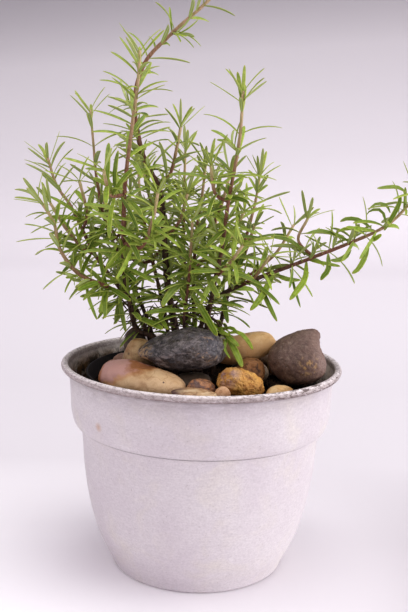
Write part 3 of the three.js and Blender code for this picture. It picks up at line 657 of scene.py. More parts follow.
def mark_dark(m):
    """Pale pitting and scratches that are partly painted highlights, painted shade at the lower left, tan
    flecks right and at the left tip.
    """
    m.tint("#8f8786", m.spots((230, 8, 0.85, 0.8), 0.5, 0.62, 0.75))
    m.tint("#4d4f5e", m.spots((90, 4, 0.6, 0.8), 0.45, 0.65, 0.4))
    m.tint("#131113", m.spots((210, 6, 0.8), 0.44, 0.34, 0.9))
    # Painted shade: darker on the lower left side, which faces down.
    m.tint("#1c1b22", m.along((-0.45, -0.35, -0.82), -104, -88), 0.6)
    # Pale streaks: scratches, partly painted highlights.
    m.tint("#a49a99", m.spots((330, 5, 0.8, 0.4, m.stretched(0.3, 1, 1)), 0.52, 0.62, 0.5))
    veins = m.times(m.cracks(70, 150, 0.016, 0.05), m.range(m.near((4, -43, 149), 13), 0.15, 0.5))
    m.tint("#b08d66", veins, m.spots((260, 4, 0.7), 0.48, 0.58), 0.85)
    tip = m.range(m.near((-37, -36, 144), 11), 0.15, 0.6)
    m.tint("#b1936f", tip, m.spots((380, 4, 0.7), 0.46, 0.58, 0.8))


def mark_pink_tan(m):
    """Mauve pink at the upper left, orange along its edge and ridge, where painted shade also darkens it
    beside the dark stone, small pits and cracks.
    """
    upper = m.uneven(m.along((-0.35, 0.35, 0.87), 109, 122), (70, 5, 0.6, 0.6), 0.3)
    m.tint("#c0978d", m.range(upper, 0.36, 0.66))
    m.tint("#c08a52", m.range(upper, 0.25, 0.45), m.range(upper, 0.7, 0.5), 0.5)
    # Darker orange-brown beside the dark stone: partly the stone's colour, partly painted shade.
    ridge = m.uneven(m.near((-36, -44, 140), 15), (130, 4), 0.25)
    m.tint("#8f5c2c", m.range(ridge, 0.3, 0.6, 0, 0.85))
    edge = m.uneven(m.along((-1, 0.1, -0.1), 41, 45), (110, 4), 0.4)
    m.tint("#a8672f", m.range(edge, 0.4, 0.9, 0, 0.8))
    m.tint("#4a2c20", m.range(m.cells(110), 0.085, 0.05, 0, 0.9))
    m.tint("#94663a", m.cracks(110, 120, 0.01, 0.035), m.along((1, 0, 0), -38, -30), 0.5)


def mark_ochre(m):
    """Pale grain, brown hollows, cracks, a purple-grey streak at the upper left, and a pit darkened with
    painted shade.
    """
    m.tint("#d8ac62", m.spots((260, 6, 0.75, 0.5), 0.5, 0.66, 0.7))
    m.tint("#6f4520", m.spots((150, 5, 0.7, 0.8), 0.46, 0.34, 0.65))
    m.tint("#43290f", m.cracks(90, 160, 0.014, 0.03, 0.4))
    m.tint("#95808a", m.near((15, -54, 137), 10), m.spots((220, 4), 0.42, 0.56))
    # Painted shade in the pit.
    m.tint("#2e1b10", m.range(m.near((18, -58, 126), 3.5), 0.2, 0.7))


def mark_umber(m):
    m.tint("#3b2618", m.spots((200, 5, 0.7, 0.8), 0.48, 0.36, 0.9))


def mark_brown(m):
    """A fine pale grain, pinker at the right, with a few yellow flecks."""
    m.tint("#93806f", m.spots((380, 6, 0.85), 0.51, 0.62, 0.6))
    m.tint("#2c211d", m.spots((420, 6, 0.85, 0, m.warped(40, 0.02)), 0.46, 0.36, 0.6))
    m.tint("#8d7268", m.along((1, -0.2, 0), 62, 84), 0.45)
    m.tint("#b08d58", m.near((64, -40, 141), 8), m.spots((380, 4), 0.5, 0.58))


def mark_mottled(m):
    m.tint("#6a5552", m.spots((170, 4, 0.6, 1.0), 0.5, 0.58, 0.85))
    m.tint("#cf9a6c", m.spots((300, 4, 0.7), 0.58, 0.66))
    m.tint("#3a2519", m.spots((260, 5, 0.7), 0.42, 0.34, 0.8))


def mark_oval(m):
    m.tint("#b0a184", m.range(m.along((-1, -0.2, 0), 47, 53), 0.2, 0.9, 0, 0.5))
    m.tint("#8a5f36", m.spots((130, 4, 0.6, 0.6), 0.5, 0.62, 0.6))
    # Painted shade in the small dent.
    m.tint("#33231a", m.range(m.near((-45, -22.5, 141), 2.2), 0.3, 0.8))


def mark_long_tan(m):
    m.tint("#c9a28c", m.along((-1, 0, 0), -30, -12), 0.35)
    m.tint("#e8cba0", m.spots((420, 6, 0.75), 0.46, 0.62, 0.4))
    m.tint("#a3753f", m.along((0.2, -0.3, -1), -143, -136), 0.4)


def mark_slab(m):
    """Pale layers and a dark purple-brown left tip."""
    m.tint("#dcc3a0", m.spots((260, 4, 0.6, 0.4, m.stretched(0.25, 0.6, 3)), 0.5, 0.58, 0.8))
    m.tint("#5e443f", m.along((-1, 0, 0), 7, 15), m.range(m.noise(200, 3), 0.35, 0.55, 0.4, 1))


def mark_small_tan(m):
    m.tint("#dfcda6", m.along((0, 0, 1), 126, 131), m.spots((150, 4), 0.4, 0.6), 0.7)
    m.tint("#8a6238", m.spots((240, 5, 0.7), 0.42, 0.32, 0.7))


STONE_MARKS = {
    "stone_dark": mark_dark, "stone_pink_tan": mark_pink_tan, "stone_ochre": mark_ochre,
    "stone_brown": mark_brown, "stone_mottled": mark_mottled, "stone_oval": mark_oval,
    "stone_long_tan": mark_long_tan, "stone_slab": mark_slab, "stone_umber": mark_umber,
    "stone_small_tan": mark_small_tan,
}
# The roughness of the stones that shine more than the others
GLOSS = {"stone_dark": 0.3, "stone_pink_tan": 0.45, "stone_mottled": 0.42}
PLAIN_GLOSS = 0.58
# The depth of the bumps (mm) on the coarser stones
COARSE = {
    "stone_dark": 1.0, "stone_ochre": 0.6, "stone_brown": 0.7, "stone_mottled": 0.8, "stone_umber": 0.9,
}
PLAIN_BUMPS = 0.4


def stone_material(node, colours, patch, rough):
    m = Material(node, GLOSS.get(node, PLAIN_GLOSS), 0.45)
    grain = stone_base(m, *colours, patch)
    if node in STONE_MARKS:
        STONE_MARKS[node](m)
    normal = m.bump(grain, 0.15, 0.6)
    normal = m.bump(m.noise(210, 8, 0.75), COARSE.get(node, PLAIN_BUMPS), 0.8, normal)
    normal = m.bump(m.noise(140, 4), rough * 0.6, 0.4, normal)
    return m.finish(normal)


def add_object(name, mesh, material, slot, *nodes):
    """A finished piece of the part, in the place of its solid."""
    piece = placed(name, mesh)
    mesh.materials.clear()
    mesh.materials.append(material)
    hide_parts(*nodes)
    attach(piece, "root")


def mesh_from(name, points, faces, attributes=None):
    """A smooth-shaded mesh from points in millimetres, with values at its points."""
    mesh = bpy.data.meshes.new(name)
    mesh.from_pydata([tuple(p) for p in np.asarray(points) * MM], [], faces)
    for key, values in (attributes or {}).items():
        attribute = mesh.attributes.new(key, "FLOAT", "POINT")
        attribute.data.foreach_set("value", np.asarray(values, np.float32))
    mesh.polygons.foreach_set("use_smooth", [True] * len(mesh.polygons))
    mesh.update()
    return mesh


def turned(profile, sides, wobble=lambda angle, height: 0):
    """Points and faces of a profile of (radius, height) pairs, from axis to axis, turned about Z."""
    points = []
    faces = []
    rings = []
    for radius, height in profile:
        if radius < 1e-6:
            rings.append([len(points)])
            points.append((0, 0, height))
            continue
        rings.append(range(len(points), len(points) + sides))
        for side in range(sides):
            angle = 2 * math.pi * side / sides
            reach = radius + wobble(angle, height)
            points.append((reach * math.cos(angle), reach * math.sin(angle), height))
    for low, high in zip(rings, rings[1:]):
        for side in range(sides):
            after = (side + 1) % sides
            if len(low) == 1:
                faces.append((low[0], high[after], high[side]))
            elif len(high) == 1:
                faces.append((low[side], low[after], high[0]))
            else:
                faces.append((low[side], low[after], high[after], high[side]))
    return points, faces


def bands(start, count, sides, flip=False):
    """Faces between rings of points, of which the first ring begins at the given point."""
    faces = []
    for low in range(start, start + count * sides, sides):
        for side in range(sides):
            after = (side + 1) % sides
            face = (low + side, low + after, low + sides + after, low + sides + side)
            faces.append(face[:1] + face[:0:-1] if flip else face)
    return faces


def noise_sum(place, noises):
    """The sum of noises at a place."""
    return sum(noise.noise(place * grain) * size for grain, size in noises)


def smooth_line(points, count):
    """Points along a Catmull-Rom curve through the given ones."""
    curve = Curve([tuple(p) + (0,) for p in points])
    return [tuple(curve.point(t)[:2]) for t in np.linspace(0, 1, count)]


def arc(centre, radii, start, end, count):
    """Points round an ellipse from one angle to another, in degrees."""
    return [
        (centre[0] + radii[0] * math.cos(math.radians(a)), centre[1] + radii[1] * math.sin(math.radians(a)))
        for a in np.linspace(start, end, count)
    ]


class Curve:
    """A smooth curve through points, measured along its length."""

    divisions = 200

    def __init__(self, points):
        self.points = [np.array(p, float) for p in points]
        self.shares = np.linspace(0, 1, self.divisions + 1)
        dense = np.array([self.point(t) for t in self.shares])
        steps = np.linalg.norm(np.diff(dense, axis=0), axis=1)
        self.lengths = np.concatenate([[0], np.cumsum(steps)])
        self.length = self.lengths[-1]

    def point(self, t):
        last = len(self.points) - 1
        place = last * t
        index = min(int(math.floor(place)), last - 1)
        weight = place - index
        p1, p2 = self.points[index], self.points[index + 1]
        p0 = self.points[index - 1] if index > 0 else 2 * p1 - p2
        p3 = self.points[index + 2] if index + 2 <= last else 2 * p2 - p1
        v0, v1 = 0.5 * (p2 - p0), 0.5 * (p3 - p1)
        square = weight * weight
        return (p1 + v0 * weight + (-3 * p1 + 3 * p2 - 2 * v0 - v1) * square
                + (2 * p1 - 2 * p2 + v0 + v1) * square * weight)

    def share(self, u):
        return float(np.interp(u * self.length, self.lengths, self.shares))

    def at(self, u):
        return self.point(self.share(u))

    def tangent(self, u):
        t = self.share(u)
        way = self.point(min(1, t + 0.0001)) - self.point(max(0, t - 0.0001))
        return way / np.linalg.norm(way)


def sideways(tangent):
    """The direction across a tangent that points most to the back."""
    back = np.array([0.0, 1.0, 0.0])
    back = back - tangent * back.dot(tangent)
    return back / np.linalg.norm(back)


def turned_outward(tangent, degrees):
    """The direction across a tangent, turned by an angle from sideways."""
    first = sideways(tangent)
    second = np.cross(tangent, first)
    angle = math.radians(degrees)
    return first * math.cos(angle) + second * math.sin(angle)


class Path:
    """A stem or branch: its curve, its straight-sided tube's middle, and its thickness."""

    def __init__(self, points, radii, bare, turn):
        self.curve = Curve(points)
        self.length = self.curve.length
        self.radii = radii
        self.bare = bare
        self.turn = turn
        steps = max(2, int(self.length / TUBE_STEP + 0.5))
        self.samples = [self.curve.at(i / steps) for i in range(steps + 1)]

    def radius(self, share):
        return self.radii[0] + (self.radii[1] - self.radii[0]) * share ** TUBE_THINNING

    def middle(self, share):
        steps = len(self.samples) - 1
        step = min(int(share * steps), steps - 1)
        part = share * steps - step
        return self.samples[step] * (1 - part) + self.samples[step + 1] * part


def stem_paths(radii, bare, turn, points, branches):
    """The paths of a stem, up from its root, and of its branches."""
    (x, y), rest = points[0], points[1:]
    main = Path([(x, y, SOIL_CROWN - ROOT_DEPTH), (x, y, SOIL_CROWN), *rest], radii, bare, turn)
    paths = [main]
    for index, (height, thin, places) in enumerate(branches):
        start = next(p for p in main.samples if p[2] >= height)
        paths.append(Path([start, *places], thin, BRANCH_BARE, turn + BRANCH_TURN * (index + 1)))
    return paths


class Taken:
    """The points that stems and leaves already fill, and the stones that leaves keep off."""

    def __init__(self, stones):
        self.points = np.zeros((MOST_TAKEN, 3))
        self.radii = np.zeros(MOST_TAKEN)
        self.owners = np.zeros(MOST_TAKEN, int)
        self.whorls = np.zeros(MOST_TAKEN, int)
        self.count = 0
        self.stones = stones

    def off_stones(self, line):
        """Whether a leaf's points are all clear of the stones and above the pot's rim."""
        for point in line:
            if point[2] < RIM_CLEAR:
                return False
            place, normal, _, distance = self.stones.find_nearest(Vector(point), STONE_REACH)
            if place is not None and (distance < STONE_CLEAR or (Vector(point) - place).dot(normal) < 0):
                return False
        return True

    def add(self, point, radius, owner, whorl):
        self.points[self.count] = point
        self.radii[self.count] = radius
        self.owners[self.count] = owner
        self.whorls[self.count] = whorl
        self.count += 1

    def free(self, line, owner, whorl, kind):
        """Whether a leaf has room beside all but its own stem and its whorl's other leaf."""
        line = np.array(line[2:])
        if line[:, 2].min() < FOLIAGE_FLOOR and not (kind is EXTRA and self.off_stones(line)):
            return False
        n = self.count
        near = np.abs(self.points[:n] - line.mean(0)).max(1) < LEAF_REACH
        own = self.owners[:n] == owner
        skip = own & ((self.whorls[:n] == whorl) | (self.whorls[:n] < 0))
        use = near & ~skip
        room = np.where(own[use], kind["own"], kind["others"])
        apart = self.radii[:n][use] + kind["width"] / 2 + room
        gaps = np.linalg.norm(self.points[:n][use][:, None] - line[None], axis=2)
        return not (gaps < apart[:, None]).any()


def leaf_line(point, tangent, outward, length, pitch, bend, droop):
    """A leaf's middle line, which bends away from its stem and droops."""
    steps = LEAF["steps"]
    line = [point]
    for step in range(steps):
        part = (step + 0.5) / steps
        angle = math.radians(pitch + bend * part)
        way = tangent * math.cos(angle) + outward * math.sin(angle) - UP * droop * part
        line.append(line[-1] + way / np.linalg.norm(way) * length / steps)
    return line


def youth_at(share):
    """0 in a shoot's lower part, rising to 1 at its tip."""
    return max(0, (share - LEAF["young_from"]) / (1 - LEAF["young_from"])) ** LEAF["young_power"]


def try_leaf(taken, owner, whorl, base, axis, leaf, kind=EXTRA):
    """The first free place for a leaf, as its line and width direction."""
    for turn_more, pitch_more, scale in kind["tries"]:
        outward = turned_outward(axis, leaf["turn"] + turn_more)
        line = leaf_line(base, axis, outward, leaf["length"] * scale, leaf["pitch"] + pitch_more,
                         leaf["bend"], leaf["droop"])
        if taken.free(line, owner, whorl, kind):
            for p in line[2:]:
                taken.add(p, kind["width"] / 2, owner, whorl)
            return line, np.cross(axis, outward)
    return None


def paired_leaf(turn, young, draw):
    """How a leaf of the solid model stands on its stem."""
    return {
        "turn": turn + LEAF["turn_spread"] * (draw() - 0.5),
        "length": (LEAF["length"] * (LEAF["shortest"] + LEAF["longer"] * draw())
                   * (1 + LEAF["young_length"] * young)),
        "pitch": LEAF["pitch"] + LEAF["young_pitch"] * young + LEAF["pitch_spread"] * (draw() - 0.5),
        "bend": LEAF["bend"] + LEAF["young_bend"] * young + LEAF["bend_more"] * draw(),
        "droop": LEAF["droop"] + LEAF["droop_more"] * draw(),
    }


def grow_leaves(owner, seed, paths, taken):
    """The leaves of the solid model, as (line, width direction, youth, width)."""
    draw = seeded(seed)
    leaves = []
    whorl = 0
    for path in paths:
        leafy = path.length - path.bare
        count = max(2, int(leafy / WHORL_SPACING + 0.5))
        for node in range(count + 1):
            whorl += 1
            share = node / count
            along = min((path.bare + leafy * share ** WHORL_CROWDING) / path.length, LAST_WHORL)
            base = path.middle(along)
            tangent = path.curve.tangent(along)
            young = youth_at(share)
            for side in (0, 180):
                leaf = paired_leaf(path.turn + WHORL_TURN * node + side, young, draw)
                found = try_leaf(taken, owner, whorl, base, tangent, leaf, PAIRED)
                if found:
                    leaves.append((*found, young, FINE_WIDTH * (1 - 0.16 * young)))
    return leaves


def tuft_leaves(owner, whorl, path, along, side, taken, draw):
    """A short side shoot in the corner of a leaf, with a few small leaves."""
    outward = turned_outward(path.curve.tangent(along), side)
    axis = path.curve.tangent(along) * TUFT_AXIS[0] + outward * TUFT_AXIS[1]
    axis /= np.linalg.norm(axis)
    base = path.curve.at(along) + outward * path.radius(along) * 0.6
    size = 0.38 + 0.3 * draw()
    leaves = []
    for number in range(TUFT_LEAVES):
        leaf = {
            "turn": SPIRAL_TURN * number + 40 * draw(),
            "length": LEAF["length"] * size * (0.8 + 0.4 * draw()),
            "pitch": 18 + 34 * draw(),
            "bend": 14 + 20 * draw(),
            "droop": 0.2 * draw(),
        }
        found = try_leaf(taken, owner, whorl, base + axis * (TUFT_STEP * number), axis, leaf)
        if found:
            leaves.append((*found, 0.5, LEAF["width"] * (0.72 + 0.12 * draw())))
    return leaves


def tip_leaves(owner, whorl, path, count, taken, draw):
    """The steep young leaves that close round a shoot's tip."""
    tangent = path.curve.tangent(0.99)
    leaves = []
    for number in range(count):
        inner = number / count
        leaf = {
            "turn": path.turn + SPIRAL_TURN * number,
            "length": LEAF["length"] * (0.84 - 0.24 * inner + 0.14 * draw()),
            "pitch": 46 - 26 * inner + 14 * draw(),
            "bend": 22 * draw() - 6,
            "droop": 0.08 * draw(),
        }
        found = try_leaf(taken, owner, whorl, path.curve.at(0.965 + 0.03 * inner), tangent, leaf)
        if found:
            leaves.append((*found, 1, LEAF["width"] * (1.05 - 0.2 * inner)))
    return leaves


def extra_leaf(turn, young, low, draw):
    """How an extra leaf stands: steeper near the tip, drooping low on the old wood."""
    return {
        "turn": turn + 36 * (draw() - 0.5),
        "length": LEAF["length"] * (0.8 + 0.36 * draw()) * (1 - 0.3 * young - 0.12 * low),
        "pitch": LEAF["pitch"] + 12 - 44 * young + 34 * (draw() - 0.5) + 12 * low,
        "bend": 34 * draw() - 6 * young - 6,
        "droop": 0.1 + 0.3 * draw() + 0.4 * low,
    }


def fill_leaves(name, owner, seed, paths, taken):
    """The extra leaves of a stem, first round its tips and then along its shoots."""
    draw = seeded(seed + FILL_SEED)
    leaves = []
    whorl = FIRST_EXTRA_WHORL
    recurved = name == RECURVED
    for number, path in enumerate(paths):
        whorl += 1
        count = BRANCH_TIP_LEAVES if number else TIP_LEAVES
        leaves += tip_leaves(owner, whorl, path, count, taken, draw)
    for number, path in enumerate(paths[:1] if name in THIN_BRANCHES else paths):
        first = path.bare - (BRANCH_FILL_BELOW if number else FILL_BELOW)
        count = int((path.length - first) / FILL_SPACING)
        for node in range(count + 1):
            whorl += 1
            reach = first + (path.length - first) * (node + 0.3 * (draw() - 0.5)) / count
            along = min(reach / path.length, LAST_EXTRA)
            share = (reach - path.bare) / (path.length - path.bare)
            if share > SPARSE_FROM and draw() < SPARSE_SKIP and not recurved:
                continue
            tangent = path.curve.tangent(along)
            turn = path.turn + WHORL_TURN * node + 45
            for side in (0, 180):
                leaf = extra_leaf(turn + side, youth_at(share), min(1, max(0, -share * 6)), draw)
                if recurved and share > RECURVED_FROM:
                    leaf["pitch"] = RECURVED_PITCH + 40 * (draw() - 0.5)
                if share > 0.05 and turned_outward(tangent, leaf["turn"])[2] < LOWEST_SIDE:
                    continue
                found = try_leaf(taken, owner, whorl, path.curve.at(along), tangent, leaf)
                if found:
                    leaves.append((*found, youth_at(share), LEAF["width"] * (1 + 0.2 * draw())))
            top = 1 if recurved else TUFTS_TO[min(number, 1)]
            if 0 < share < top and draw() < TUFT_CHANCE:
                side = turn + 180 * int(2 * draw()) + 45
                leaves += tuft_leaves(owner, whorl, path, along, side, taken, draw)
    return leaves


def hanging_leaves(name):
    """A stem's single blades, which face the viewer."""
    leaves = []
    for width, points in HANGING.get(name, ()):
        line = [np.array(p, float) for p in points]
        leaves.append((line, np.cross(TOWARDS_VIEWER, line[-1] - line[0]), 0, width))
    return leaves


def dry_twigs(path, taken, draw):
    """Short dead twigs on a stem's bare wood, none of them in a stone."""
    twigs = []
    for _ in range(DRY_TWIGS):
        along = path.bare * (0.5 + 0.55 * draw()) / path.length
        outward = turned_outward(path.curve.tangent(along), 360 * draw())
        aside = np.cross(UP, outward) * (draw() - 0.5)
        start = path.middle(along)
        reach = 6 + 9 * draw()
        rise = 1.2 * draw() - 0.4
        bend = start + outward * reach * 0.6 + UP * reach * rise * 0.3 + aside * reach * 0.5
        end = start + outward * reach + UP * reach * rise + aside * reach * 0.4
        if taken.off_stones([bend, end]):
            twigs.append(Path([start, bend, end], DRY_TWIG_RADII, 0, 0))
    return twigs


class Leaves:
    """Gathers many leaves in one mesh, with a row of values for each point."""

    names = ("under", "rib", "edge", "tone", "youth", "along")

    def __init__(self):
        self.points = []
        self.faces = []
        self.values = []

    def add(self, line, wide, youth, width, draw):
        curve = Curve(line)
        wide = wide / np.linalg.norm(wide)
        twist = math.radians(50 * (draw() - 0.5))
        tone = draw()
        start = len(self.points)
        sides = len(SECTION)
        shrink = 1 - 0.2 * youth
        for share, spread in LEAF_RINGS:
            middle = curve.at(share)
            way = curve.tangent(share)
            across = wide - way * wide.dot(way)
            across /= np.linalg.norm(across)
            up = np.cross(way, across)
            turn = twist * share ** 1.5
            across, up = (across * math.cos(turn) + up * math.sin(turn),
                          up * math.cos(turn) - across * math.sin(turn))
            half = width / 2 * spread * shrink
            for sidewise, rise, under, rib, edge in SECTION:
                self.points.append(middle + across * sidewise * half + up * rise * half * LEAF_DEPTH)
                self.values.append((under, rib, edge, tone, youth, share))
        self.faces += bands(start, len(LEAF_RINGS) - 1, sides, flip=True)
        tip = len(self.points)
        self.points.append(curve.at(1.0))
        self.values.append((0, 0, 0.5, tone, youth, 1))
        end = tip - sides
        self.faces += [(end + (side + 1) % sides, end + side, tip) for side in range(sides)]
        self.faces.append(tuple(range(start, start + sides)))

    def mesh(self, name):
        return mesh_from(name, self.points, self.faces, dict(zip(self.names, zip(*self.values))))


def wood_age(number, share, branches_end):
    """1 for the old wood at a stem's foot, 0 at its tip; bare twigs are old all along."""
    if number >= branches_end:
        return 0.9
    return (1 - share) if number == 0 else 0.45 * (1 - share)


def stem_mesh(name, paths, twigs, seed):
    """The woody stem, its branches and bare twigs, with knots where leaf pairs stand."""
    points = []
    faces = []
    age = []
    draw = seeded(seed + WOOD_SEED)
    for number, path in enumerate(paths + twigs):
        count = max(6, int(path.length / WOOD_STEP))
        start = len(points)
        phase = 6 * draw()
        for ring in range(count + 1):
            share = ring / count
            middle = path.curve.at(share)
            tangent = path.curve.tangent(share)
            first = sideways(tangent)
            second = np.cross(tangent, first)
            radius = path.radius(share)
            along = share * path.length
            knot = KNOT * math.cos(2 * math.pi * along / (WHORL_SPACING / 2) + phase) ** 8
            old = wood_age(number, share, len(paths))
            for side in range(WOOD_SIDES):
                angle = 2 * math.pi * side / WOOD_SIDES
                outward = first * math.cos(angle) + second * math.sin(angle)
                rough = noise_sum(Vector(middle + outward * radius), WOOD_NOISES) * old
                points.append(middle + outward * (radius * (1 + knot + rough)))
                age.append(old)
        faces += bands(start, count, WOOD_SIDES)
        faces.append(tuple(reversed(range(start, start + WOOD_SIDES))))
        faces.append(tuple(range(len(points) - WOOD_SIDES, len(points))))
    return mesh_from(name, points, faces, {"age": age})


def stone_tree():
    """The surfaces of all the fine stones together, in millimetres."""
    points = []
    faces = []
    for node in STONES:
        mesh = bpy.data.meshes[river_name(node)]
        start = len(points)
        points.extend(v.co / MM for v in mesh.vertices)
        faces.extend([start + i for i in face.vertices] for face in mesh.polygons)
    return BVHTree.FromPolygons(points, faces)


def build_plant():
    bark = bark_material()
    green = leaf_material()
    taken = Taken(stone_tree())
    all_paths = [stem_paths(*stem[2:]) for stem in STEMS]
    for owner, paths in enumerate(all_paths):
        for path in paths:
            for step in range(int(path.length / STEM_STEP) + 1):
                share = STEM_STEP * step / path.length
                taken.add(path.middle(share), path.radius(share), owner, -1)
    grown = [grow_leaves(owner, stem[1], all_paths[owner], taken) for owner, stem in enumerate(STEMS)]
    for owner, (name, seed, *_) in enumerate(STEMS):
        paths = all_paths[owner]
        extra = fill_leaves(name, owner, seed, paths, taken)
        draw = seeded(seed + TWIST_SEED)
        gathered = Leaves()
        for leaf in grown[owner] + extra + hanging_leaves(name):
            gathered.add(*leaf, draw)
        add_object(f"{name}_leaves", gathered.mesh(f"{name}_leaves"), green, "leaf", name)
        twigs = [Path(points, radii, 0, 0) for radii, points in TWIGS.get(name, ())]
        twigs += dry_twigs(paths[0], taken, draw)
        wood = stem_mesh(f"{name}_wood", paths, twigs, seed)
        add_object(f"{name}_wood", wood, bark, "bark", name)


def pot_wobble(angle, height):
    """How far the pot is out of round, more so higher up."""
    around = Vector((math.cos(angle), math.sin(angle), height * 0.012))
    return OUT_OF_ROUND * noise.noise(around * 1.4) * min(1, height / ROUND_BELOW)


def build_pot():
    sides = POT["sides"]
    wall = POT["wall"]
    crease, crease_height = POT["crease"], POT["crease_height"]
    foot = [(POT["foot"] + out, z) for out, z in POT_FOOT]
    body = smooth_line([foot[-1], *POT_BODY], BODY_POINTS)
    outside = [(0, 0), *foot[:-1], *body]
    bottom = crease - 0.7 - POT["crease_depth"]
    groove = [(crease - 1.1, crease_height - 1.1), (bottom, crease_height - 0.35)]
    collar = arc((crease, crease_height + POT["collar_round"]),
                 (POT["collar"] - crease, POT["collar_round"]), -90, 0, COLLAR_POINTS)
    flank = [*((POT["collar"] + out, z) for out, z in COLLAR_LEAN), (POT["collar_top"], POT["collar_end"])]
    bead = POT["bead"] / 2
    roll = arc((POT["rim"] - bead, POT["height"] - bead), (bead, bead), *BEAD_ROLL, BEAD_POINTS)
    outer = [*body[::3], (crease, crease_height), *collar[::3], *flank]
    inside = [(r - wall, z) for r, z in reversed(outer)] + [(POT["foot"], POT["floor"]), (0, POT["floor"])]
    profile = [*outside, *groove, *collar, *flank, *roll, *inside]
    points, faces = turned(profile, sides, pot_wobble)
    # The crease ring is marked for the painted shade line along the crease.
    marks = {"crease": np.zeros(len(points)), "inside": np.zeros(len(points))}
    crease_shade_start = 1 + len(outside) * sides
    marks["crease"][crease_shade_start:crease_shade_start + sides] = 1
    marks["inside"][1 + (len(profile) - len(inside) - 1) * sides:] = 1
    mesh = mesh_from("pot_enamelled", points, faces, marks)
    add_object("pot_enamelled", mesh, pot_material(), "pot_paint", "pot")


def build_liner():
    foot = POT["floor"] + GAP
    lip = LINER["rim_height"] - LINER["lip"]
    wall = LINER["wall"]
    top = LINER["rim_height"]
    rim = LINER["rim"]
    profile = [
        (0, foot), (LINER["base"] - LINER["foot_round"], foot), (LINER["base"], foot + LINER["foot_round"]),
        (LINER["body_top"], lip), (rim - 0.4, lip + 0.6), (rim, lip + 1.4), (rim, top - 0.4),
        (rim - 0.4, top), (rim - wall + 0.3, top), (rim - wall, top - 0.4), (rim - wall, lip + 1 + wall),
        (LINER["body_top"] - wall, lip + wall), (LINER["base"] - wall, foot + LINER["foot_round"] + wall),
        (LINER["base"] - LINER["foot_round"] - wall, foot + wall), (0, foot + wall),
    ]
    mesh = mesh_from("liner_pot_plastic", *turned(profile, LINER["sides"]))
    add_object("liner_pot_plastic", mesh, liner_material(), "liner_plastic", "liner_pot")


def soil_height(share):
    """The height of the soil at a share of its radius, without its lumps."""
    return SOIL_CROWN - (SOIL_CROWN - SOIL_EDGE) * share


def build_soil():
    low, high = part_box("soil")
    reach = high.x / MM
    foot = low.z / MM
    angles = [2 * math.pi * side / SOIL_SIDES for side in range(SOIL_SIDES)]
    points = []
    for ring in range(SOIL_RINGS + 1):
        share = ring / SOIL_RINGS
        radius = max(0.2, reach * share)
        for angle in angles:
            x, y = radius * math.cos(angle), radius * math.sin(angle)
            lump = noise.noise(Vector((x, y, 0)) * 0.16) * 1.3 + noise.noise(Vector((x, y, 5)) * 0.5) * 0.7
            points.append((x, y, soil_height(share) - SOIL_SUNK + lump * (1 - share ** 6)))
    base_radius = LINER["base"] - LINER["wall"] - GAP
    points += [(base_radius * math.cos(angle), base_radius * math.sin(angle), foot) for angle in angles]
    faces = bands(0, SOIL_RINGS + 1, SOIL_SIDES, flip=True)
    faces.append(tuple(reversed(range(len(points) - SOIL_SIDES, len(points)))))
    faces.append(tuple(range(SOIL_SIDES)))
    add_crumbs(points, faces, reach)
    add_object("soil_compost", mesh_from("soil_compost", points, faces), soil_material(), "soil", "soil")


def add_crumbs(points, faces, reach):
    """Crumbs of compost on the soil between the stones."""
    draw = seeded(CRUMB_SEED)
    shape = bmesh.new()
    bmesh.ops.create_icosphere(shape, subdivisions=1, radius=1)
    corners = [v.co.copy() for v in shape.verts]
    triangles = [[v.index for v in f.verts] for f in shape.faces]
    shape.free()
    for _ in range(CRUMBS):
        radius = (reach - CRUMBS_OFF_WALL) * math.sqrt(draw())
        angle = 2 * math.pi * draw()
        size = 0.5 + 1.3 * draw() ** 2
        middle = Vector((radius * math.cos(angle), radius * math.sin(angle), 0))
        middle.z = soil_height(radius / reach) + 0.2 * size
        turn = Euler((6 * draw(), 6 * draw(), 6 * draw())).to_matrix()
        squash = Vector((1, 0.6 + 0.4 * draw(), 0.5 + 0.4 * draw()))
        start = len(points)
        points.extend(tuple(middle + turn @ (Vector(c * squash * size))) for c in corners)
        faces.extend(tuple(start + i for i in t) for t in triangles)


def subdivided(node):
    """The solid stone's own form, smoothed and finely divided."""
    shape = bmesh.new()
    shape.from_mesh(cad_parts[node].data)
    bmesh.ops.remove_doubles(shape, verts=shape.verts, dist=1e-6)
    mesh = bpy.data.meshes.new(node)
    shape.to_mesh(mesh)
    shape.free()
    coarse = placed("coarse", mesh)
    coarse.modifiers.new("smooth", "SUBSURF").levels = 4 if node in COARSE else 3
    bpy.context.view_layer.update()
    fine = bpy.data.meshes.new_from_object(coarse.evaluated_get(bpy.context.evaluated_depsgraph_get()))
    bpy.data.objects.remove(coarse)
    return fine


def read_vectors(items, key):
    """The vectors of a mesh's points, one in each row."""
    values = np.zeros(len(items) * 3)
    items.foreach_get(key, values)
    return values.reshape(-1, 3)


def refined_stone(node, rough):
    """The solid stone with a smooth, uneven and dented surface, in the same box."""
    low, high = [np.array(corner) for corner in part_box(node)]
    fine = subdivided(node)
    places = read_vectors(fine.vertices, "co")
    normals = read_vectors(fine.vertex_normals, "vector")
    dents = [dent[1:] for dent in DENTS if dent[0] == node]
    for i, normal in enumerate(normals):
        at = Vector(places[i]) / MM
        swell = noise_sum(at, STONE_NOISES)
        if node in COARSE:
            swell += noise.turbulence(at * COARSE_NOISE[0], 4, True) * COARSE_NOISE[1]
        places[i] += normal * swell * rough * MM
        for place, radius, depth in dents:
            reach = (at - Vector(place)).length / radius
            if reach < 1:
                places[i] -= normal * depth * (1 - reach * reach) ** 2 * MM
    centre = (places.max(0) + places.min(0)) / 2
    stretch = (high - low) / (places.max(0) - places.min(0))
    places = (places - centre) * stretch + (high + low) / 2
    fine.vertices.foreach_set("co", places.ravel())
    fine.polygons.foreach_set("use_smooth", [True] * len(fine.polygons))
    fine.update()
    return fine


def river_name(node):
    return node.replace("stone", "river_stone")


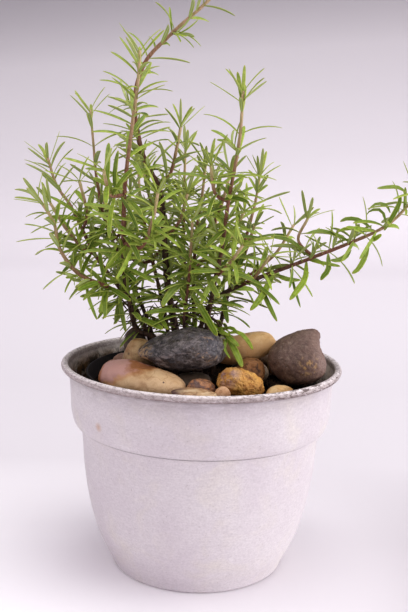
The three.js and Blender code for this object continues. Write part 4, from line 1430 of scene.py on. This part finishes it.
def build_stones():
    for node, (slot, *colours, patch, rough) in STONES.items():
        name = river_name(node)
        mesh = refined_stone(node, rough)
        mesh.name = name
        add_object(name, mesh, stone_material(node, colours, patch, rough), slot, node)


def floor_material():
    """Pale, with painted light and shade: paler at the left where the pot's shadow falls, darker to the
    right where the key light falls, darker behind the pot, paler further back, and painted shade up the
    backdrop.
    """
    m = Material("pale_floor", 0.8, 0.2)
    rise = (-0.1, 0, 0.99)
    # Painted light and shade: paler at the left where the pot's shadow falls, darker at the right where the
    # key light falls.
    m.colour = m.mix(m.along((1, 0, 0), 0, 177), "#fbf8fb", "#c9c4c8")
    # Painted shade behind the pot, and painted light further back.
    m.tint("#dfdbdf", m.along((0, 1, 0), 20, 180))
    m.tint("#f7f3f7", m.along((0, 1, 0), 450, 1400))
    # Painted shade that darkens up the backdrop, most near its top.
    m.tint("#a5a1a4", m.along(rise, 40, 1100))
    m.tint("#a5a1a4", m.along(rise, 40, 260), 0.15)
    m.tint("#8c888e", m.along(rise, 620, 1060))
    return m.finish()


def build_stage():
    """A pale floor that sweeps up into a backdrop."""
    profile = [(-FLOOR_SIZE / 2, 0.0), (BACKDROP_PLACE, 0.0)]
    for step in range(1, BACKDROP_STEPS + 1):
        angle = math.pi / 2 * step / BACKDROP_STEPS
        rise = BACKDROP_TURN * (1 - math.cos(angle))
        profile.append((BACKDROP_PLACE + BACKDROP_TURN * math.sin(angle), rise))
    profile.append((BACKDROP_PLACE + BACKDROP_TURN, FLOOR_SIZE))
    points = [(x, y, z) for y, z in profile for x in (-FLOOR_SIZE, FLOOR_SIZE)]
    faces = [(2 * i, 2 * i + 1, 2 * i + 3, 2 * i + 2) for i in range(len(profile) - 1)]
    mesh = bpy.data.meshes.new("floor")
    mesh.from_pydata(points, [], faces)
    mesh.polygons.foreach_set("use_smooth", [True] * len(mesh.polygons))
    mesh.materials.append(floor_material())
    floor = placed("floor", mesh)


def build_lights():
    for name, place, aim, size, power in LIGHTS:
        data = bpy.data.lights.new(name, "AREA")
        data.shape = "ELLIPSE"
        data.size, data.size_y = size
        data.energy = power
        light = placed(name, data)
        light.location = place
        light.rotation_euler = (Vector(aim) - Vector(place)).to_track_quat("-Z", "Y").to_euler()
    scene = bpy.context.scene
    scene.world = bpy.data.worlds.new("studio")
    scene.world.use_nodes = True
    background = scene.world.node_tree.nodes["Background"]
    background.inputs["Color"].default_value = linear(WORLD_COLOUR)
    background.inputs["Strength"].default_value = WORLD_STRENGTH
    scene.view_settings.view_transform = "Standard"
    scene.view_settings.look = "Medium High Contrast"


build_pot()
build_liner()
build_soil()
build_stones()
build_plant()
build_stage()
build_lights()
